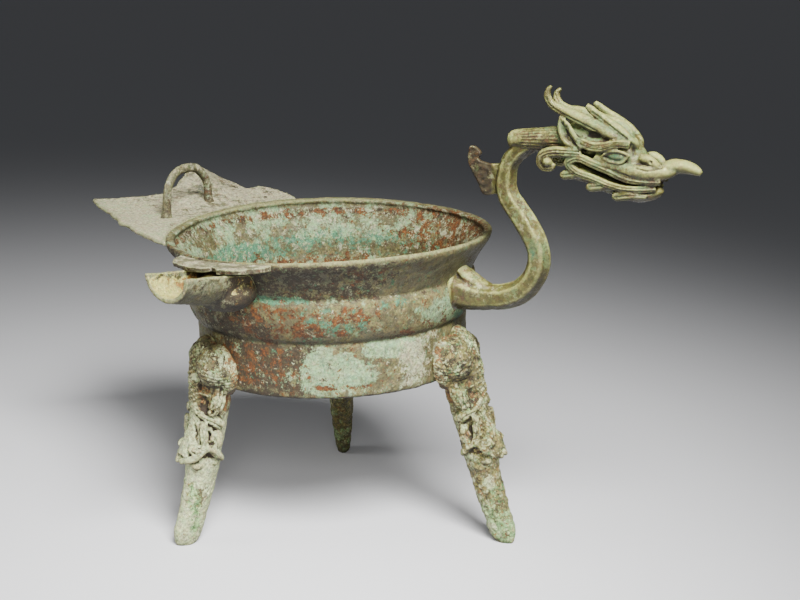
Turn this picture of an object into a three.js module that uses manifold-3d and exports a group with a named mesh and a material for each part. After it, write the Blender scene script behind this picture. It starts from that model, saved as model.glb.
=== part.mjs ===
// Gilt-bronze tripod ewer: a hollow round bowl on three beast legs, with an open spout,
// a torn leaf-shaped plate and loop on the rim, and a long handle ending in a dragon's head.
// Millimetres, +Z up. The handle points along +X and the spout roughly along -Y.
import * as THREE from "three";
import { mergeVertices } from "three/addons/utils/BufferGeometryUtils.js";
import Module from "manifold-3d";

const wasm = await Module();
wasm.setup();

// Bowl sizes: heights are measured from the floor up the bowl's own axis
const RIM_RADIUS = 105;
const NECK_RADIUS = 92.5;
const BELLY_RADIUS = 94;
const WAIST_RADIUS = 87.3;
const BASE_RADIUS = 86;
const BASE_HEIGHT = 105;
const WAIST_HEIGHT = 139.5;
const BELLY_HEIGHT = 157;
const NECK_ABOVE_BELLY = 10;
const NECK_HEIGHT = BELLY_HEIGHT + NECK_ABOVE_BELLY;
const RIM_HEIGHT = 193.3;
const WALL = 3;
const LIP_WIDTH = 6;
const LIP_DEPTH = 5;
const RIM_WARP = 1.6;
const RIM_WARP_AZIMUTH = 140;
const BOWL_SEGMENTS = 48;

// The bowl leans, and its axis meets the floor a little off the middle of the three feet
const LEAN_DEGREES = 2.1;
const LEAN_AZIMUTH = 210;
const FEET_SHIFT = 3.5;

// Gap left where one casting seats on another
const SEAT_GAP = 0.3;

// Leaf plate on the rim opposite the handle
const LEAF_AZIMUTH = 180;
const LEAF_REACH = 87;
const LEAF_LIFT = 21;
const LEAF_THICKNESS = 3;

// Loop standing on the leaf plate
const LOOP_AZIMUTH = 174;
const LOOP_SPAN = 43;
const LOOP_RISE = 31;
const LOOP_BAR = 5.8;
const LOOP_OFFSET = 14.6;

// Broken ledge on the rim above the spout
const LEDGE_AZIMUTH = 263.5;
const LEDGE_ANGLE = 35;
const LEDGE_REACH = 18;
const LEDGE_THICKNESS = 4;

// Open spout, with a round passage through the bowl wall behind its closed root
const SPOUT_AZIMUTH = 262;
const SPOUT_LENGTH = 58;
const SPOUT_WALL = 2.6;
const SPOUT_MOUTH_WIDTH = 31;
const SPOUT_ROOT_WIDTH = 39;
const SPOUT_MOUTH_DEPTH = 16;
const SPOUT_ROOT_DEPTH = 23;
const SPOUT_BELOW_LEDGE = 5.3;
const SPOUT_RISE = 9;
const SPOUT_HOOD_LENGTH = 17;
const PASSAGE_WIDTH = 18;
const PASSAGE_HEIGHT = 12;

// Legs
const LEG_COUNT = 3;
const LEG_GRIP = 29;
const LEG_SPREAD = 31.5;
const HAUNCH_WIDTH = 48;
const SHIN_WIDTH = 16.4;
const SHIN_DEPTH = 20.4;
const FLOOR_DEPTH = 30;

// Handle and dragon head
const HANDLE_ABOVE_BELLY = 2.5;
const HANDLE_REACH = 53;
const HANDLE_RISE = 97.3;
const HANDLE_BAR = 13.4;
const FIN_THICKNESS = 3;
const HEAD_LENGTH = 120;
const HEAD_WIDTH = 23;

const radians = THREE.MathUtils.degToRad;
const lerp = THREE.MathUtils.lerp;
const smooth = THREE.MathUtils.smoothstep;

// Geometry helpers

// A closed mesh becomes a solid; a mesh that came out inside out is turned round.
function toSolid(geometry) {
  const bare = new THREE.BufferGeometry();
  bare.setAttribute("position", geometry.getAttribute("position"));
  bare.setIndex(geometry.getIndex());
  const merged = mergeVertices(bare, 1e-4);
  const place = merged.getAttribute("position").array;
  const corners = Array.from(merged.getIndex().array);
  const kept = [];
  let volume = 0;
  for (let t = 0; t < corners.length; t += 3) {
    const [i, j, k] = corners.slice(t, t + 3);
    if (i === j || j === k || k === i) continue;
    kept.push(i, j, k);
    const a = new THREE.Vector3().fromArray(place, 3 * i);
    const b = new THREE.Vector3().fromArray(place, 3 * j);
    const c = new THREE.Vector3().fromArray(place, 3 * k);
    volume += a.dot(b.cross(c));
  }
  if (volume < 0) kept.reverse();
  const mesh = new wasm.Mesh({
    numProp: 3,
    vertProperties: new Float32Array(place),
    triVerts: new Uint32Array(kept),
  });
  return new wasm.Manifold(mesh);
}

function toGeometry(solid) {
  const mesh = solid.getMesh();
  const geometry = new THREE.BufferGeometry();
  geometry.setAttribute("position", new THREE.BufferAttribute(mesh.vertProperties, 3));
  geometry.setIndex(new THREE.BufferAttribute(mesh.triVerts, 1));
  geometry.computeVertexNormals();
  return geometry;
}

function joinAll(solids) {
  return solids.reduce((whole, piece) => whole.add(piece));
}

// Rings of points, each with as many points as the next, skinned and closed at both ends.
function skinRings(rings) {
  const count = rings[0].length;
  const points = rings.flat();
  const index = [];
  for (let i = 0; i + 1 < rings.length; i++) {
    for (let j = 0; j < count; j++) {
      const a = i * count + j;
      const b = i * count + (j + 1) % count;
      index.push(a, b, b + count, a, b + count, a + count);
    }
  }
  for (const [ring, start] of [[rings[0], 0], [rings.at(-1), (rings.length - 1) * count]]) {
    const middle = new THREE.Vector3();
    for (const p of ring) middle.addScaledVector(p, 1 / count);
    points.push(middle);
    for (let j = 0; j < count; j++) {
      const next = start + (j + 1) % count;
      if (start === 0) index.push(points.length - 1, next, start + j);
      else index.push(points.length - 1, start + j, next);
    }
  }
  const geometry = new THREE.BufferGeometry().setFromPoints(points);
  geometry.setIndex(index);
  return toSolid(geometry);
}

// A bar along a smooth spine. Each stop is [x, y, z, half-height, half-width]; the half-width lies
// along the direction `across`, the half-height square to it and to the spine.
function sweepBar(stops, across, sections, sides = 8) {
  const spine = new THREE.CatmullRomCurve3(
    stops.map(([x, y, z]) => new THREE.Vector3(x, y, z)), false, "centripetal");
  const lastStop = stops.length - 1;
  const rings = [];
  for (let i = 0; i <= sections; i++) {
    const t = i / sections;
    const stop = Math.min(Math.floor(t * lastStop), lastStop - 1);
    const part = t * lastStop - stop;
    const high = lerp(stops[stop][3], stops[stop + 1][3], part);
    const wide = lerp(stops[stop][4], stops[stop + 1][4], part);
    const centre = spine.getPoint(t);
    const ahead = spine.getTangent(t);
    const up = new THREE.Vector3().crossVectors(across, ahead).normalize();
    const side = new THREE.Vector3().crossVectors(ahead, up).normalize();
    const ring = [];
    for (let j = 0; j < sides; j++) {
      const angle = (j + 0.5) / sides * 2 * Math.PI;
      ring.push(centre.clone()
        .addScaledVector(side, wide * Math.cos(angle))
        .addScaledVector(up, high * Math.sin(angle)));
    }
    rings.push(ring);
  }
  return skinRings(rings);
}

function ball(centre, radii, turnY = 0, wide = 8, high = 6) {
  const geometry = new THREE.SphereGeometry(1, wide, high);
  geometry.scale(...radii);
  geometry.rotateY(radians(turnY));
  geometry.translate(...centre);
  return toSolid(geometry);
}

// A closed slab between an upper and a lower surface over the same grid.
function slab(across, along, upper, lower) {
  const rings = [];
  for (let i = 0; i <= across; i++) {
    const ring = [];
    for (let j = 0; j <= along; j++) ring.push(upper(i / across, j / along));
    for (let j = along; j >= 0; j--) ring.push(lower(i / across, j / along));
    rings.push(ring);
  }
  const count = rings[0].length;
  const points = rings.flat();
  const index = [];
  for (let i = 0; i < across; i++) {
    for (let j = 0; j < count; j++) {
      const a = i * count + j;
      const b = i * count + (j + 1) % count;
      index.push(a, b, b + count, a, b + count, a + count);
    }
  }
  for (const start of [0, across * count]) {
    for (let j = 0; j < along; j++) {
      const a = start + j;
      const b = start + count - 1 - j;
      const strip = [a, b, b - 1, a, b - 1, a + 1];
      if (start > 0) strip.reverse();
      index.push(...strip);
    }
  }
  const geometry = new THREE.BufferGeometry().setFromPoints(points);
  geometry.setIndex(index);
  return toSolid(geometry);
}

function polar(radius, degrees, height) {
  const angle = radians(degrees);
  return new THREE.Vector3(radius * Math.cos(angle), radius * Math.sin(angle), height);
}

// Reads a value from a short list of [key, value] stops, with straight lines between them.
function between(stops, key, column = 1) {
  if (key <= stops[0][0]) return stops[0][column];
  for (let i = 1; i < stops.length; i++) {
    if (key > stops[i][0]) continue;
    const part = (key - stops[i - 1][0]) / (stops[i][0] - stops[i - 1][0]);
    return lerp(stops[i - 1][column], stops[i][column], part);
  }
  return stops.at(-1)[column];
}

// Bowl: outer and inner profile as [height, radius], from the base up

const FLARE_MIDDLE = (NECK_HEIGHT + RIM_HEIGHT) / 2;
const outerProfile = [
  [BASE_HEIGHT, BASE_RADIUS],
  [BASE_HEIGHT + 2, BASE_RADIUS + 1],
  [lerp(BASE_HEIGHT, WAIST_HEIGHT, 0.5), (BASE_RADIUS + WAIST_RADIUS) / 2 + 0.5],
  [WAIST_HEIGHT, WAIST_RADIUS],
  [WAIST_HEIGHT + 2.5, WAIST_RADIUS + 2.2],
  [lerp(WAIST_HEIGHT, BELLY_HEIGHT, 0.55), lerp(WAIST_RADIUS, BELLY_RADIUS, 0.72)],
  [BELLY_HEIGHT, BELLY_RADIUS],
  [NECK_HEIGHT - 3, BELLY_RADIUS - 0.4],
  [NECK_HEIGHT, NECK_RADIUS],
  [FLARE_MIDDLE, lerp(NECK_RADIUS, RIM_RADIUS, 0.47)],
  [RIM_HEIGHT - LIP_DEPTH, RIM_RADIUS - 0.6],
  [RIM_HEIGHT, RIM_RADIUS],
];
const innerProfile = [
  [RIM_HEIGHT, RIM_RADIUS - LIP_WIDTH],
  [RIM_HEIGHT - LIP_DEPTH, RIM_RADIUS - LIP_WIDTH],
  [RIM_HEIGHT - LIP_DEPTH - 0.4, RIM_RADIUS - WALL - 1],
  [FLARE_MIDDLE, lerp(NECK_RADIUS, RIM_RADIUS, 0.47) - WALL],
  [NECK_HEIGHT, NECK_RADIUS - WALL],
  [BELLY_HEIGHT, BELLY_RADIUS - WALL],
  [WAIST_HEIGHT + 2.5, WAIST_RADIUS + 1 - WALL],
  [BASE_HEIGHT + 2 * WALL + 4, BASE_RADIUS + 0.5 - WALL],
  [BASE_HEIGHT + WALL + 1.2, BASE_RADIUS - WALL - 5],
  [BASE_HEIGHT + WALL, 0],
];

const wallRadius = (height) => between(outerProfile, height);

// The rim is bent slightly out of level, more the higher up the wall.
function warpRim(geometry) {
  const place = geometry.getAttribute("position");
  for (let i = 0; i < place.count; i++) {
    const [x, y, z] = [place.getX(i), place.getY(i), place.getZ(i)];
    place.setZ(i, z + rimWarp(Math.atan2(y, x), z));
  }
  return geometry;
}

function rimWarp(angle, height) {
  const swing = Math.cos(2 * (angle - radians(RIM_WARP_AZIMUTH)));
  return RIM_WARP * swing * smooth(height, BELLY_HEIGHT, RIM_HEIGHT);
}

function turnProfile(profile) {
  const points = profile.map(([height, radius]) => new THREE.Vector2(radius, height));
  const geometry = new THREE.LatheGeometry(points, BOWL_SEGMENTS);
  geometry.rotateX(Math.PI / 2);
  return toSolid(warpRim(geometry));
}

function makeBowl() {
  return turnProfile([[BASE_HEIGHT, 0], ...outerProfile, ...innerProfile]);
}

// What other castings must stay clear of: the filled bowl, grown by the seat gap.
function bowlClearance() {
  const grown = outerProfile.map(([height, radius]) => [height, radius + SEAT_GAP]);
  grown[0][0] -= SEAT_GAP;
  const top = RIM_HEIGHT + SEAT_GAP;
  grown[grown.length - 1][0] = top;
  return turnProfile([[BASE_HEIGHT - SEAT_GAP, 0], ...grown, [top, 0]]);
}

// Leaf plate: outline stops [degrees from its axis, reach share, lift share]
const leafOutline = [
  [-47, 0.02, 0.05],
  [-42, 0.27, 0.22],
  [-38, 0.34, 0.30],
  [-34.5, 0.39, 0.22],
  [-31, 0.68, 0.52],
  [-27, 0.71, 0.88],
  [-24, 0.69, 1.0],
  [-20, 0.65, 0.76],
  [-16, 0.58, 0.58],
  [-10.4, 0.47, 0.48],
  [-7, 0.62, 0.37],
  [-3, 0.80, 0.35],
  [0, 1.0, 0.34],
  [6, 0.68, 0.17],
  [19, 0.33, 0.09],
  [30, 0.14, 0.02],
  [39, 0.02, 0],
];
const LEAF_STEPS = 2 * (leafOutline.length - 1);
const LEAF_RINGS = 3;
const LEAF_BEND_POWER = 1.1;

function leafPoint(along, out, drop) {
  const stop = Math.min(Math.floor(along * (leafOutline.length - 1)), leafOutline.length - 2);
  const part = along * (leafOutline.length - 1) - stop;
  const degrees = lerp(leafOutline[stop][0], leafOutline[stop + 1][0], part);
  const azimuth = LEAF_AZIMUTH + degrees;
  const reach = LEAF_REACH * between(leafOutline, degrees, 1);
  const lift = LEAF_LIFT * between(leafOutline, degrees, 2) * out ** LEAF_BEND_POWER;
  const radius = RIM_RADIUS + SEAT_GAP + reach * out;
  const level = RIM_HEIGHT + rimWarp(radians(azimuth), RIM_HEIGHT);
  return polar(radius, azimuth, level + lift - drop);
}

function makeLeafPlate() {
  const thinning = (out) => LEAF_THICKNESS * lerp(1.3, 0.8, out);
  return slab(LEAF_STEPS, LEAF_RINGS,
    (along, out) => leafPoint(along, out, 0),
    (along, out) => leafPoint(along, out, thinning(out)));
}

// Loop: a flat arched bar whose spread feet seat on the leaf plate
function makeLoop() {
  const half = LOOP_SPAN / 2;
  const foot = RIM_HEIGHT - 2;
  const top = RIM_HEIGHT + LOOP_RISE;
  const thick = LOOP_BAR / 2;
  const middle = polar(RIM_RADIUS + LOOP_OFFSET, LOOP_AZIMUTH, 0);
  const outwards = polar(1, LOOP_AZIMUTH, 0);
  const aside = polar(-1, LOOP_AZIMUTH + 90, 0);
  const stop = (across, rise, high, wide) => {
    const place = middle.clone().addScaledVector(aside, half * across);
    return [place.x, place.y, lerp(foot, top, rise), thick * high, thick * wide];
  };
  const stops = [
    stop(-1.06, 0, 1.5, 1.3), stop(-1, 0.2, 1.05, 0.95), stop(-0.93, 0.62, 1, 0.8),
    stop(-0.54, 0.93, 1, 0.75), stop(0, 1, 1, 0.75), stop(0.54, 0.93, 1, 0.75),
    stop(0.95, 0.64, 1, 0.8), stop(1.02, 0.26, 1.05, 0.95), stop(1.06, 0, 1.5, 1.3),
  ];
  return sweepBar(stops, outwards, 14, 6).subtract(leafClearance());
}

function leafClearance() {
  return slab(LEAF_STEPS, LEAF_RINGS,
    (along, out) => leafPoint(along, out, -SEAT_GAP),
    (along, out) => leafPoint(along, out, LEAF_THICKNESS + LOOP_SPAN / 2));
}

// Spout: an open trough that becomes a closed hood where it meets the wall
const SPOUT_ROOT_HEIGHT = RIM_HEIGHT - LEDGE_THICKNESS - SPOUT_BELOW_LEDGE;
const SPOUT_MOUTH_HEIGHT = SPOUT_ROOT_HEIGHT + SPOUT_RISE;
const HOOD_HEIGHT = SPOUT_ROOT_HEIGHT - SPOUT_ROOT_DEPTH / 2 + 1.5;
const HOOD_OVERLAP = 4;

function spoutEllipsoid(outwards, long, wide, high, wideSteps, highSteps) {
  const middle = polar(wallRadius(HOOD_HEIGHT) + outwards, SPOUT_AZIMUTH, HOOD_HEIGHT);
  const geometry = new THREE.SphereGeometry(1, wideSteps, highSteps);
  geometry.rotateX(Math.PI / 2);
  geometry.scale(long, wide, high);
  geometry.rotateZ(radians(SPOUT_AZIMUTH));
  geometry.translate(middle.x, middle.y, middle.z);
  return toSolid(geometry);
}

function makeSpout(keepOut) {
  const start = wallRadius(HOOD_HEIGHT) - HOOD_OVERLAP;
  const end = wallRadius(HOOD_HEIGHT) + SPOUT_LENGTH;
  const ahead = polar(1, SPOUT_AZIMUTH, 0);
  const aside = polar(1, SPOUT_AZIMUTH + 90, 0);
  const section = (share, around, inset) => {
    const half = lerp(SPOUT_ROOT_WIDTH, SPOUT_MOUTH_WIDTH, Math.sqrt(share)) / 2 - inset;
    const top = lerp(SPOUT_ROOT_HEIGHT, SPOUT_MOUTH_HEIGHT, share);
    const depth = lerp(SPOUT_ROOT_DEPTH, SPOUT_MOUTH_DEPTH, share) - inset;
    const angle = Math.PI * around;
    return ahead.clone().multiplyScalar(lerp(start, end, share))
      .addScaledVector(aside, -half * Math.cos(angle))
      .setZ(top - depth * Math.sin(angle));
  };
  const trough = slab(5, 8,
    (share, around) => section(share, around, SPOUT_WALL),
    (share, around) => section(share, around, 0));
  const hood = spoutEllipsoid(SPOUT_HOOD_LENGTH / 2, SPOUT_HOOD_LENGTH,
    SPOUT_ROOT_WIDTH / 2 + 0.6, SPOUT_ROOT_DEPTH / 2 + 1.2, 10, 7);
  const throat = spoutEllipsoid(SPOUT_HOOD_LENGTH, SPOUT_HOOD_LENGTH * 1.2,
    SPOUT_ROOT_WIDTH / 2 - SPOUT_WALL, SPOUT_ROOT_DEPTH / 2 - SPOUT_WALL, 8, 5);
  return trough.add(hood).subtract(throat).subtract(spoutPassage())
    .subtract(keepOut).subtract(ledgeClearance());
}

// The way through the bowl wall into the spout
function spoutPassage() {
  const inside = polar(wallRadius(HOOD_HEIGHT) - 5 * WALL, SPOUT_AZIMUTH, HOOD_HEIGHT);
  const outside = polar(wallRadius(HOOD_HEIGHT) + SPOUT_HOOD_LENGTH / 2, SPOUT_AZIMUTH, HOOD_HEIGHT);
  const stop = (place) => [...place.toArray(), PASSAGE_HEIGHT / 2, PASSAGE_WIDTH / 2];
  return sweepBar([stop(inside), stop(outside)], polar(1, SPOUT_AZIMUTH + 90, 0), 1, 10);
}

// Ledge: outline stops [share of its angle, reach share]
const ledgeOutline = [
  [0, 0.30],
  [0.12, 0.97],
  [0.26, 1.0],
  [0.38, 1.0],
  [0.50, 0.66],
  [0.60, 0.94],
  [0.74, 0.93],
  [0.86, 0.62],
  [0.97, 0.36],
  [1, 0.05],
];

function ledgePoint(along, out, drop) {
  const azimuth = LEDGE_AZIMUTH + LEDGE_ANGLE * (along - 0.5);
  const reach = LEDGE_REACH * between(ledgeOutline, along);
  const radius = RIM_RADIUS + SEAT_GAP + reach * out;
  const level = RIM_HEIGHT + rimWarp(radians(azimuth), RIM_HEIGHT);
  const flap = 2 * (1 - smooth(along, 0, 0.3)) * out;
  return polar(radius, azimuth, level - 0.8 + flap - drop);
}

function makeLedge() {
  return slab(14, 2,
    (along, out) => ledgePoint(along, out, 0),
    (along, out) => ledgePoint(along, out, lerp(LEDGE_THICKNESS, LEDGE_THICKNESS * 0.8, out)));
}

function ledgeClearance() {
  const under = LEDGE_THICKNESS + SEAT_GAP;
  return slab(14, 2,
    (along, out) => ledgePoint(along, out, -SEAT_GAP),
    (along, out) => ledgePoint(along, out, lerp(under, under * 0.85, out)));
}

// Legs: a beast that climbs head down. Each stop is [out share of the leg's spread, across share
// of half the haunch width, up share of the leg's height], then half-height and half-width.
const LEG_HEIGHT = BASE_HEIGHT + LEG_GRIP;

function makeLeg(turn, keepOut, floor) {
  const half = HAUNCH_WIDTH / 2;
  const deep = SHIN_DEPTH / 2;
  const shin = SHIN_WIDTH / 2;
  const place = (out, across, up) => [BASE_RADIUS + LEG_SPREAD * out, half * across, LEG_HEIGHT * up];
  const across = new THREE.Vector3(0, 1, 0);
  const upwards = new THREE.Vector3(0, 0, 1);
  const pieces = [];
  // Trunk behind the haunches, down to the neck, and on into the plain lower leg
  pieces.push(sweepBar([
    [...place(0.08, 0, 0.985), deep * 0.6, half * 0.5],
    [...place(0.13, 0, 0.92), deep * 0.9, half * 0.68],
    [...place(0.18, 0, 0.81), deep, half * 0.75],
    [...place(0.238, 0, 0.709), deep * 1.37, half * 0.54],
    [...place(0.298, 0, 0.634), deep * 1.22, half * 0.48],
    [...place(0.40, 0, 0.545), deep * 1.24, half * 0.46],
    [...place(0.48, 0, 0.468), deep * 1.2, half * 0.45],
    [...place(0.535, 0, 0.396), deep * 1.17, shin * 1.2],
    [...place(0.584, 0, 0.343), deep, shin * 1.08],
    [...place(0.683, 0, 0.261), deep, shin],
    [...place(0.816, 0, 0.157), deep * 0.9, shin * 0.86],
    [...place(0.94, 0, 0.075), deep * 0.91, shin * 0.73],
    [...place(0.994, 0, 0.03), deep * 0.8, shin * 0.62],
    [...place(1.012, 0, 0.006), deep * 0.64, shin * 0.5],
    [...place(1.016, 0, -0.012), deep * 0.36, shin * 0.3],
  ], across, 14, 7));
  // Scaled back along the outside, down to the snout
  pieces.push(sweepBar([
    [...place(0.20, 0, 1.0), deep * 0.4, half * 0.24],
    [...place(0.34, 0, 0.965), deep * 0.62, half * 0.30],
    [...place(0.45, 0, 0.87), deep * 0.76, half * 0.33],
    [...place(0.455, 0, 0.72), deep * 0.78, half * 0.36],
    [...place(0.47, 0, 0.61), deep * 0.8, half * 0.38],
    [...place(0.62, 0, 0.53), deep * 0.8, half * 0.36],
    [...place(0.79, 0, 0.478), deep * 0.62, half * 0.33],
    [...place(0.93, 0, 0.445), deep * 0.42, half * 0.24],
  ], across, 7, 5));
  for (const side of [-1, 1]) {
    const flank = (out, share, up) => place(out, side * share, up);
    // Haunch and hind foot
    pieces.push(ball(flank(0.143, 0.52, 0.862), [half * 0.46, half * 0.48, half * 0.62], 8, 7, 5));
    pieces.push(sweepBar([
      [...flank(0.05, 0.56, 0.79), half * 0.18, half * 0.2],
      [...flank(0.2, 0.6, 0.725), half * 0.17, half * 0.19],
      [...flank(0.34, 0.56, 0.68), half * 0.15, half * 0.18],
    ], across, 2, 5));
    // Ear and brow running down to the eye, and the jaw's curl behind it
    pieces.push(sweepBar([
      [...flank(0.56, 0.33, 0.655), half * 0.08, half * 0.1],
      [...flank(0.66, 0.38, 0.585), half * 0.17, half * 0.15],
      [...flank(0.72, 0.38, 0.515), half * 0.2, half * 0.16],
    ], across, 2, 5));
    pieces.push(sweepBar([
      [...flank(0.33, 0.42, 0.61), half * 0.1, half * 0.1],
      [...flank(0.28, 0.46, 0.55), half * 0.14, half * 0.14],
      [...flank(0.25, 0.44, 0.505), half * 0.2, half * 0.14],
    ], across, 2, 5));
    // Lip bar from the snout round the cheek, and the tuft under it
    pieces.push(sweepBar([
      [...flank(1.02, 0.06, 0.432), half * 0.11, half * 0.11],
      [...flank(0.83, 0.34, 0.462), half * 0.11, half * 0.11],
      [...flank(0.55, 0.48, 0.503), half * 0.11, half * 0.11],
      [...flank(0.28, 0.45, 0.452), half * 0.11, half * 0.11],
      [...flank(0.22, 0.38, 0.43), half * 0.12, half * 0.11],
    ], upwards, 4, 4));
    pieces.push(ball(flank(0.67, 0.3, 0.403), [half * 0.2, half * 0.14, half * 0.15], 0, 5, 3));
  }
  const upright = joinAll(pieces);
  const bent = toGeometry(upright);
  bent.rotateZ(turn);
  return toSolid(bendLeg(bent)).subtract(keepOut).subtract(floor);
}

// The foot stands where the three feet stand, and the top of the leg leans with the bowl.
function bendLeg(geometry) {
  const shift = polar(-FEET_SHIFT, LEAN_AZIMUTH, 0);
  const place = geometry.getAttribute("position");
  for (let i = 0; i < place.count; i++) {
    const point = new THREE.Vector3().fromBufferAttribute(place, i);
    const leaning = point.clone().applyMatrix4(lean.matrix);
    const standing = point.clone().add(shift);
    standing.lerp(leaning, point.z / LEG_HEIGHT);
    place.setXYZ(i, standing.x, standing.y, standing.z);
  }
  return geometry;
}

// Handle: an S-shaped bar from the belly up to the back of the dragon's head.
// Stops are [reach share, rise share, height share, width share] of the bar.
const handleStops = [
  [-0.13, 0.016, 1.78, 1.9],
  [0, 0.010, 1.70, 1.8],
  [0.19, -0.007, 1.35, 1.4],
  [0.39, -0.012, 1.10, 1.12],
  [0.585, 0.003, 1.09, 1.05],
  [0.775, 0.05, 1.04, 1],
  [0.91, 0.128, 0.99, 1],
  [0.98, 0.216, 1, 1],
  [0.985, 0.303, 0.99, 1],
  [0.935, 0.385, 1.01, 1],
  [0.84, 0.473, 1.03, 1],
  [0.735, 0.555, 1.0, 0.97],
  [0.635, 0.63, 0.97, 0.95],
  [0.59, 0.704, 0.92, 0.92],
  [0.60, 0.779, 0.86, 0.88],
  [0.63, 0.848, 0.80, 0.85],
  [0.735, 0.925, 0.78, 0.83],
  [0.89, 0.99, 0.85, 0.88],
];

// Fin on the back of the neck, [reach share, rise share], as a closed outline
const finOutline = [
  [0.62, 0.70], [0.47, 0.66], [0.31, 0.65], [0.24, 0.72], [0.17, 0.79],
  [0.12, 0.85], [0.15, 0.95], [0.22, 0.945], [0.28, 0.91], [0.25, 0.87],
  [0.34, 0.85], [0.46, 0.845], [0.62, 0.86],
];

function makeHandle(keepOut) {
  const rootHeight = BELLY_HEIGHT + HANDLE_ABOVE_BELLY;
  const root = wallRadius(rootHeight);
  const across = new THREE.Vector3(0, 1, 0);
  const at = (reach, rise) => [
    root + HANDLE_REACH * reach, 0, rootHeight + HANDLE_RISE * rise];
  const half = HANDLE_BAR / 2;
  const bar = sweepBar(handleStops.map(([reach, rise, high, wide]) =>
    [...at(reach, rise), half * high, half * wide]), across, 22);
  const outline = new THREE.Shape(finOutline.map(([reach, rise]) => {
    const [x, , z] = at(reach, rise);
    return new THREE.Vector2(x, z);
  }));
  const finGeometry = new THREE.ExtrudeGeometry(outline, { depth: FIN_THICKNESS, bevelEnabled: false });
  finGeometry.rotateX(Math.PI / 2);
  finGeometry.translate(0, FIN_THICKNESS / 2, 0);
  const [x, , z] = at(0.63, 1);
  return joinAll([bar, toSolid(toIndexed(finGeometry)), ...dragonHead(x, z)]).subtract(keepOut);
}

function toIndexed(geometry) {
  const bare = new THREE.BufferGeometry();
  bare.setAttribute("position", geometry.getAttribute("position"));
  return mergeVertices(bare, 1e-4);
}

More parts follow.
